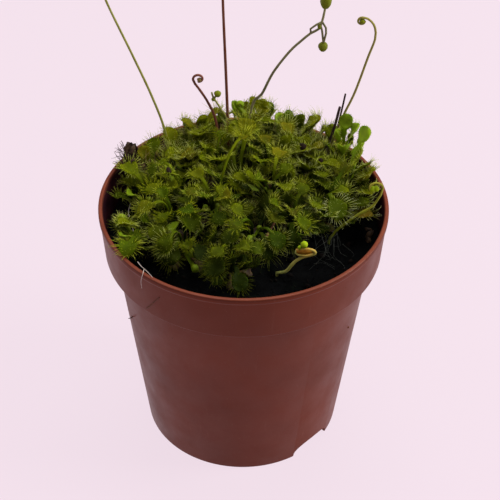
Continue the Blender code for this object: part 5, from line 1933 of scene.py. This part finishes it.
class SUNDEW_OT_stage(bpy.types.Operator):
    """Lay the pale floor, set the soft studio lights and stand the camera where the photo was taken"""

    bl_idname = "sundew.stage"
    bl_label = "Stage"

    def execute(self, context):
        scene = context.scene
        settings = settings_of(context)
        mesh = bpy.data.meshes.new("floor")
        reach = 6000.0 * MM
        mesh.from_pydata([(-reach, -reach, 0), (reach, -reach, 0), (reach, reach, 0),
                          (-reach, reach, 0)], [], [(0, 1, 2, 3)])
        floor = bpy.data.objects.new("floor", mesh)
        scene.collection.objects.link(floor)
        tone = tuple(settings.floor_colour)
        paper = Finish("floor_paper", {
            "Roughness": 0.9, "Specular IOR Level": 0.1, "Emission Color": (*tone, 1.0),
            "Emission Strength": FLOOR_GLOW})
        shown = darker(tone, 0.75 * (1 - FLOOR_GLOW))
        paper.colour(paper.mix(paper.noise(3.0), darker(shown, 0.995), shown))
        mesh.materials.append(paper.material)
        world = bpy.data.worlds.new("studio")
        world.use_nodes = True
        sky = world.node_tree.nodes["Background"]
        sky.inputs["Color"].default_value = (1.0, 0.97, 0.99, 1.0)
        sky.inputs["Strength"].default_value = 0.36
        scene.world = world
        area_light("overhead", (60, 420, 1150), (0, 0, 60), (700, 700), settings.key_power)
        area_light("right_side", (600, -20, 420), (0, 0, 75), (260, 420), 5.1, (0.96, 0.99, 0.90))
        area_light("left_side", (-620, 60, 260), (0, 0, 60), (200, 420), 0.6)
        pitch, yaw, roll = (math.radians(v) for v in (CAMERA_PITCH, CAMERA_YAW, CAMERA_ROLL))
        level = Vector((-math.sin(yaw), math.cos(yaw), 0)) * math.cos(pitch)
        forward = level - Vector((0, 0, math.sin(pitch)))
        right = forward.cross(Vector((0, 0, 1))).normalized()
        up = right.cross(forward)
        tilted = right * math.cos(roll) + up * math.sin(roll)
        top = up * math.cos(roll) - right * math.sin(roll)
        eye = Vector((0, -CAMERA_DISTANCE * math.cos(pitch),
                      AIM_HEIGHT + CAMERA_DISTANCE * math.sin(pitch))) * MM
        camera = bpy.data.objects.new("camera", bpy.data.cameras.new("camera"))
        camera.data.lens = SENSOR_WIDTH * FOCAL_PIXELS / FRAME_PIXELS
        camera.data.sensor_width = SENSOR_WIDTH
        camera.data.clip_start = 0.01
        camera.matrix_world = Matrix((
            (tilted.x, top.x, -forward.x, eye.x), (tilted.y, top.y, -forward.y, eye.y),
            (tilted.z, top.z, -forward.z, eye.z), (0, 0, 0, 1)))
        scene.collection.objects.link(camera)
        scene.camera = camera
        scene.view_settings.view_transform = "Standard"
        return {"FINISHED"}


STEPS = (SUNDEW_OT_stage, SUNDEW_OT_pot, SUNDEW_OT_peat, SUNDEW_OT_rosettes,
         SUNDEW_OT_stalks, SUNDEW_OT_moss, SUNDEW_OT_litter)


class SUNDEW_PT_panel(bpy.types.Panel):
    """The steps that build the potted sundew, and its settings"""

    bl_idname = "SUNDEW_PT_panel"
    bl_label = "Potted sundew"
    bl_space_type = "VIEW_3D"
    bl_region_type = "UI"
    bl_category = "Sundew"

    def draw(self, context):
        column = self.layout.column()
        for name in SundewSettings.__annotations__:
            column.prop(context.scene.sundew, name)
        for step in STEPS:
            column.operator(step.bl_idname)


def register():
    for kind in (SundewSettings, *STEPS, SUNDEW_PT_panel):
        bpy.utils.register_class(kind)
    bpy.types.Scene.sundew = bpy.props.PointerProperty(type=SundewSettings)


def unregister():
    del bpy.types.Scene.sundew
    for kind in (SUNDEW_PT_panel, *reversed(STEPS), SundewSettings):
        bpy.utils.unregister_class(kind)


def main():
    register()
    for step in STEPS:
        group, action = step.bl_idname.split(".")
        getattr(getattr(bpy.ops, group), action)()


if __name__ == "__main__":
    main()
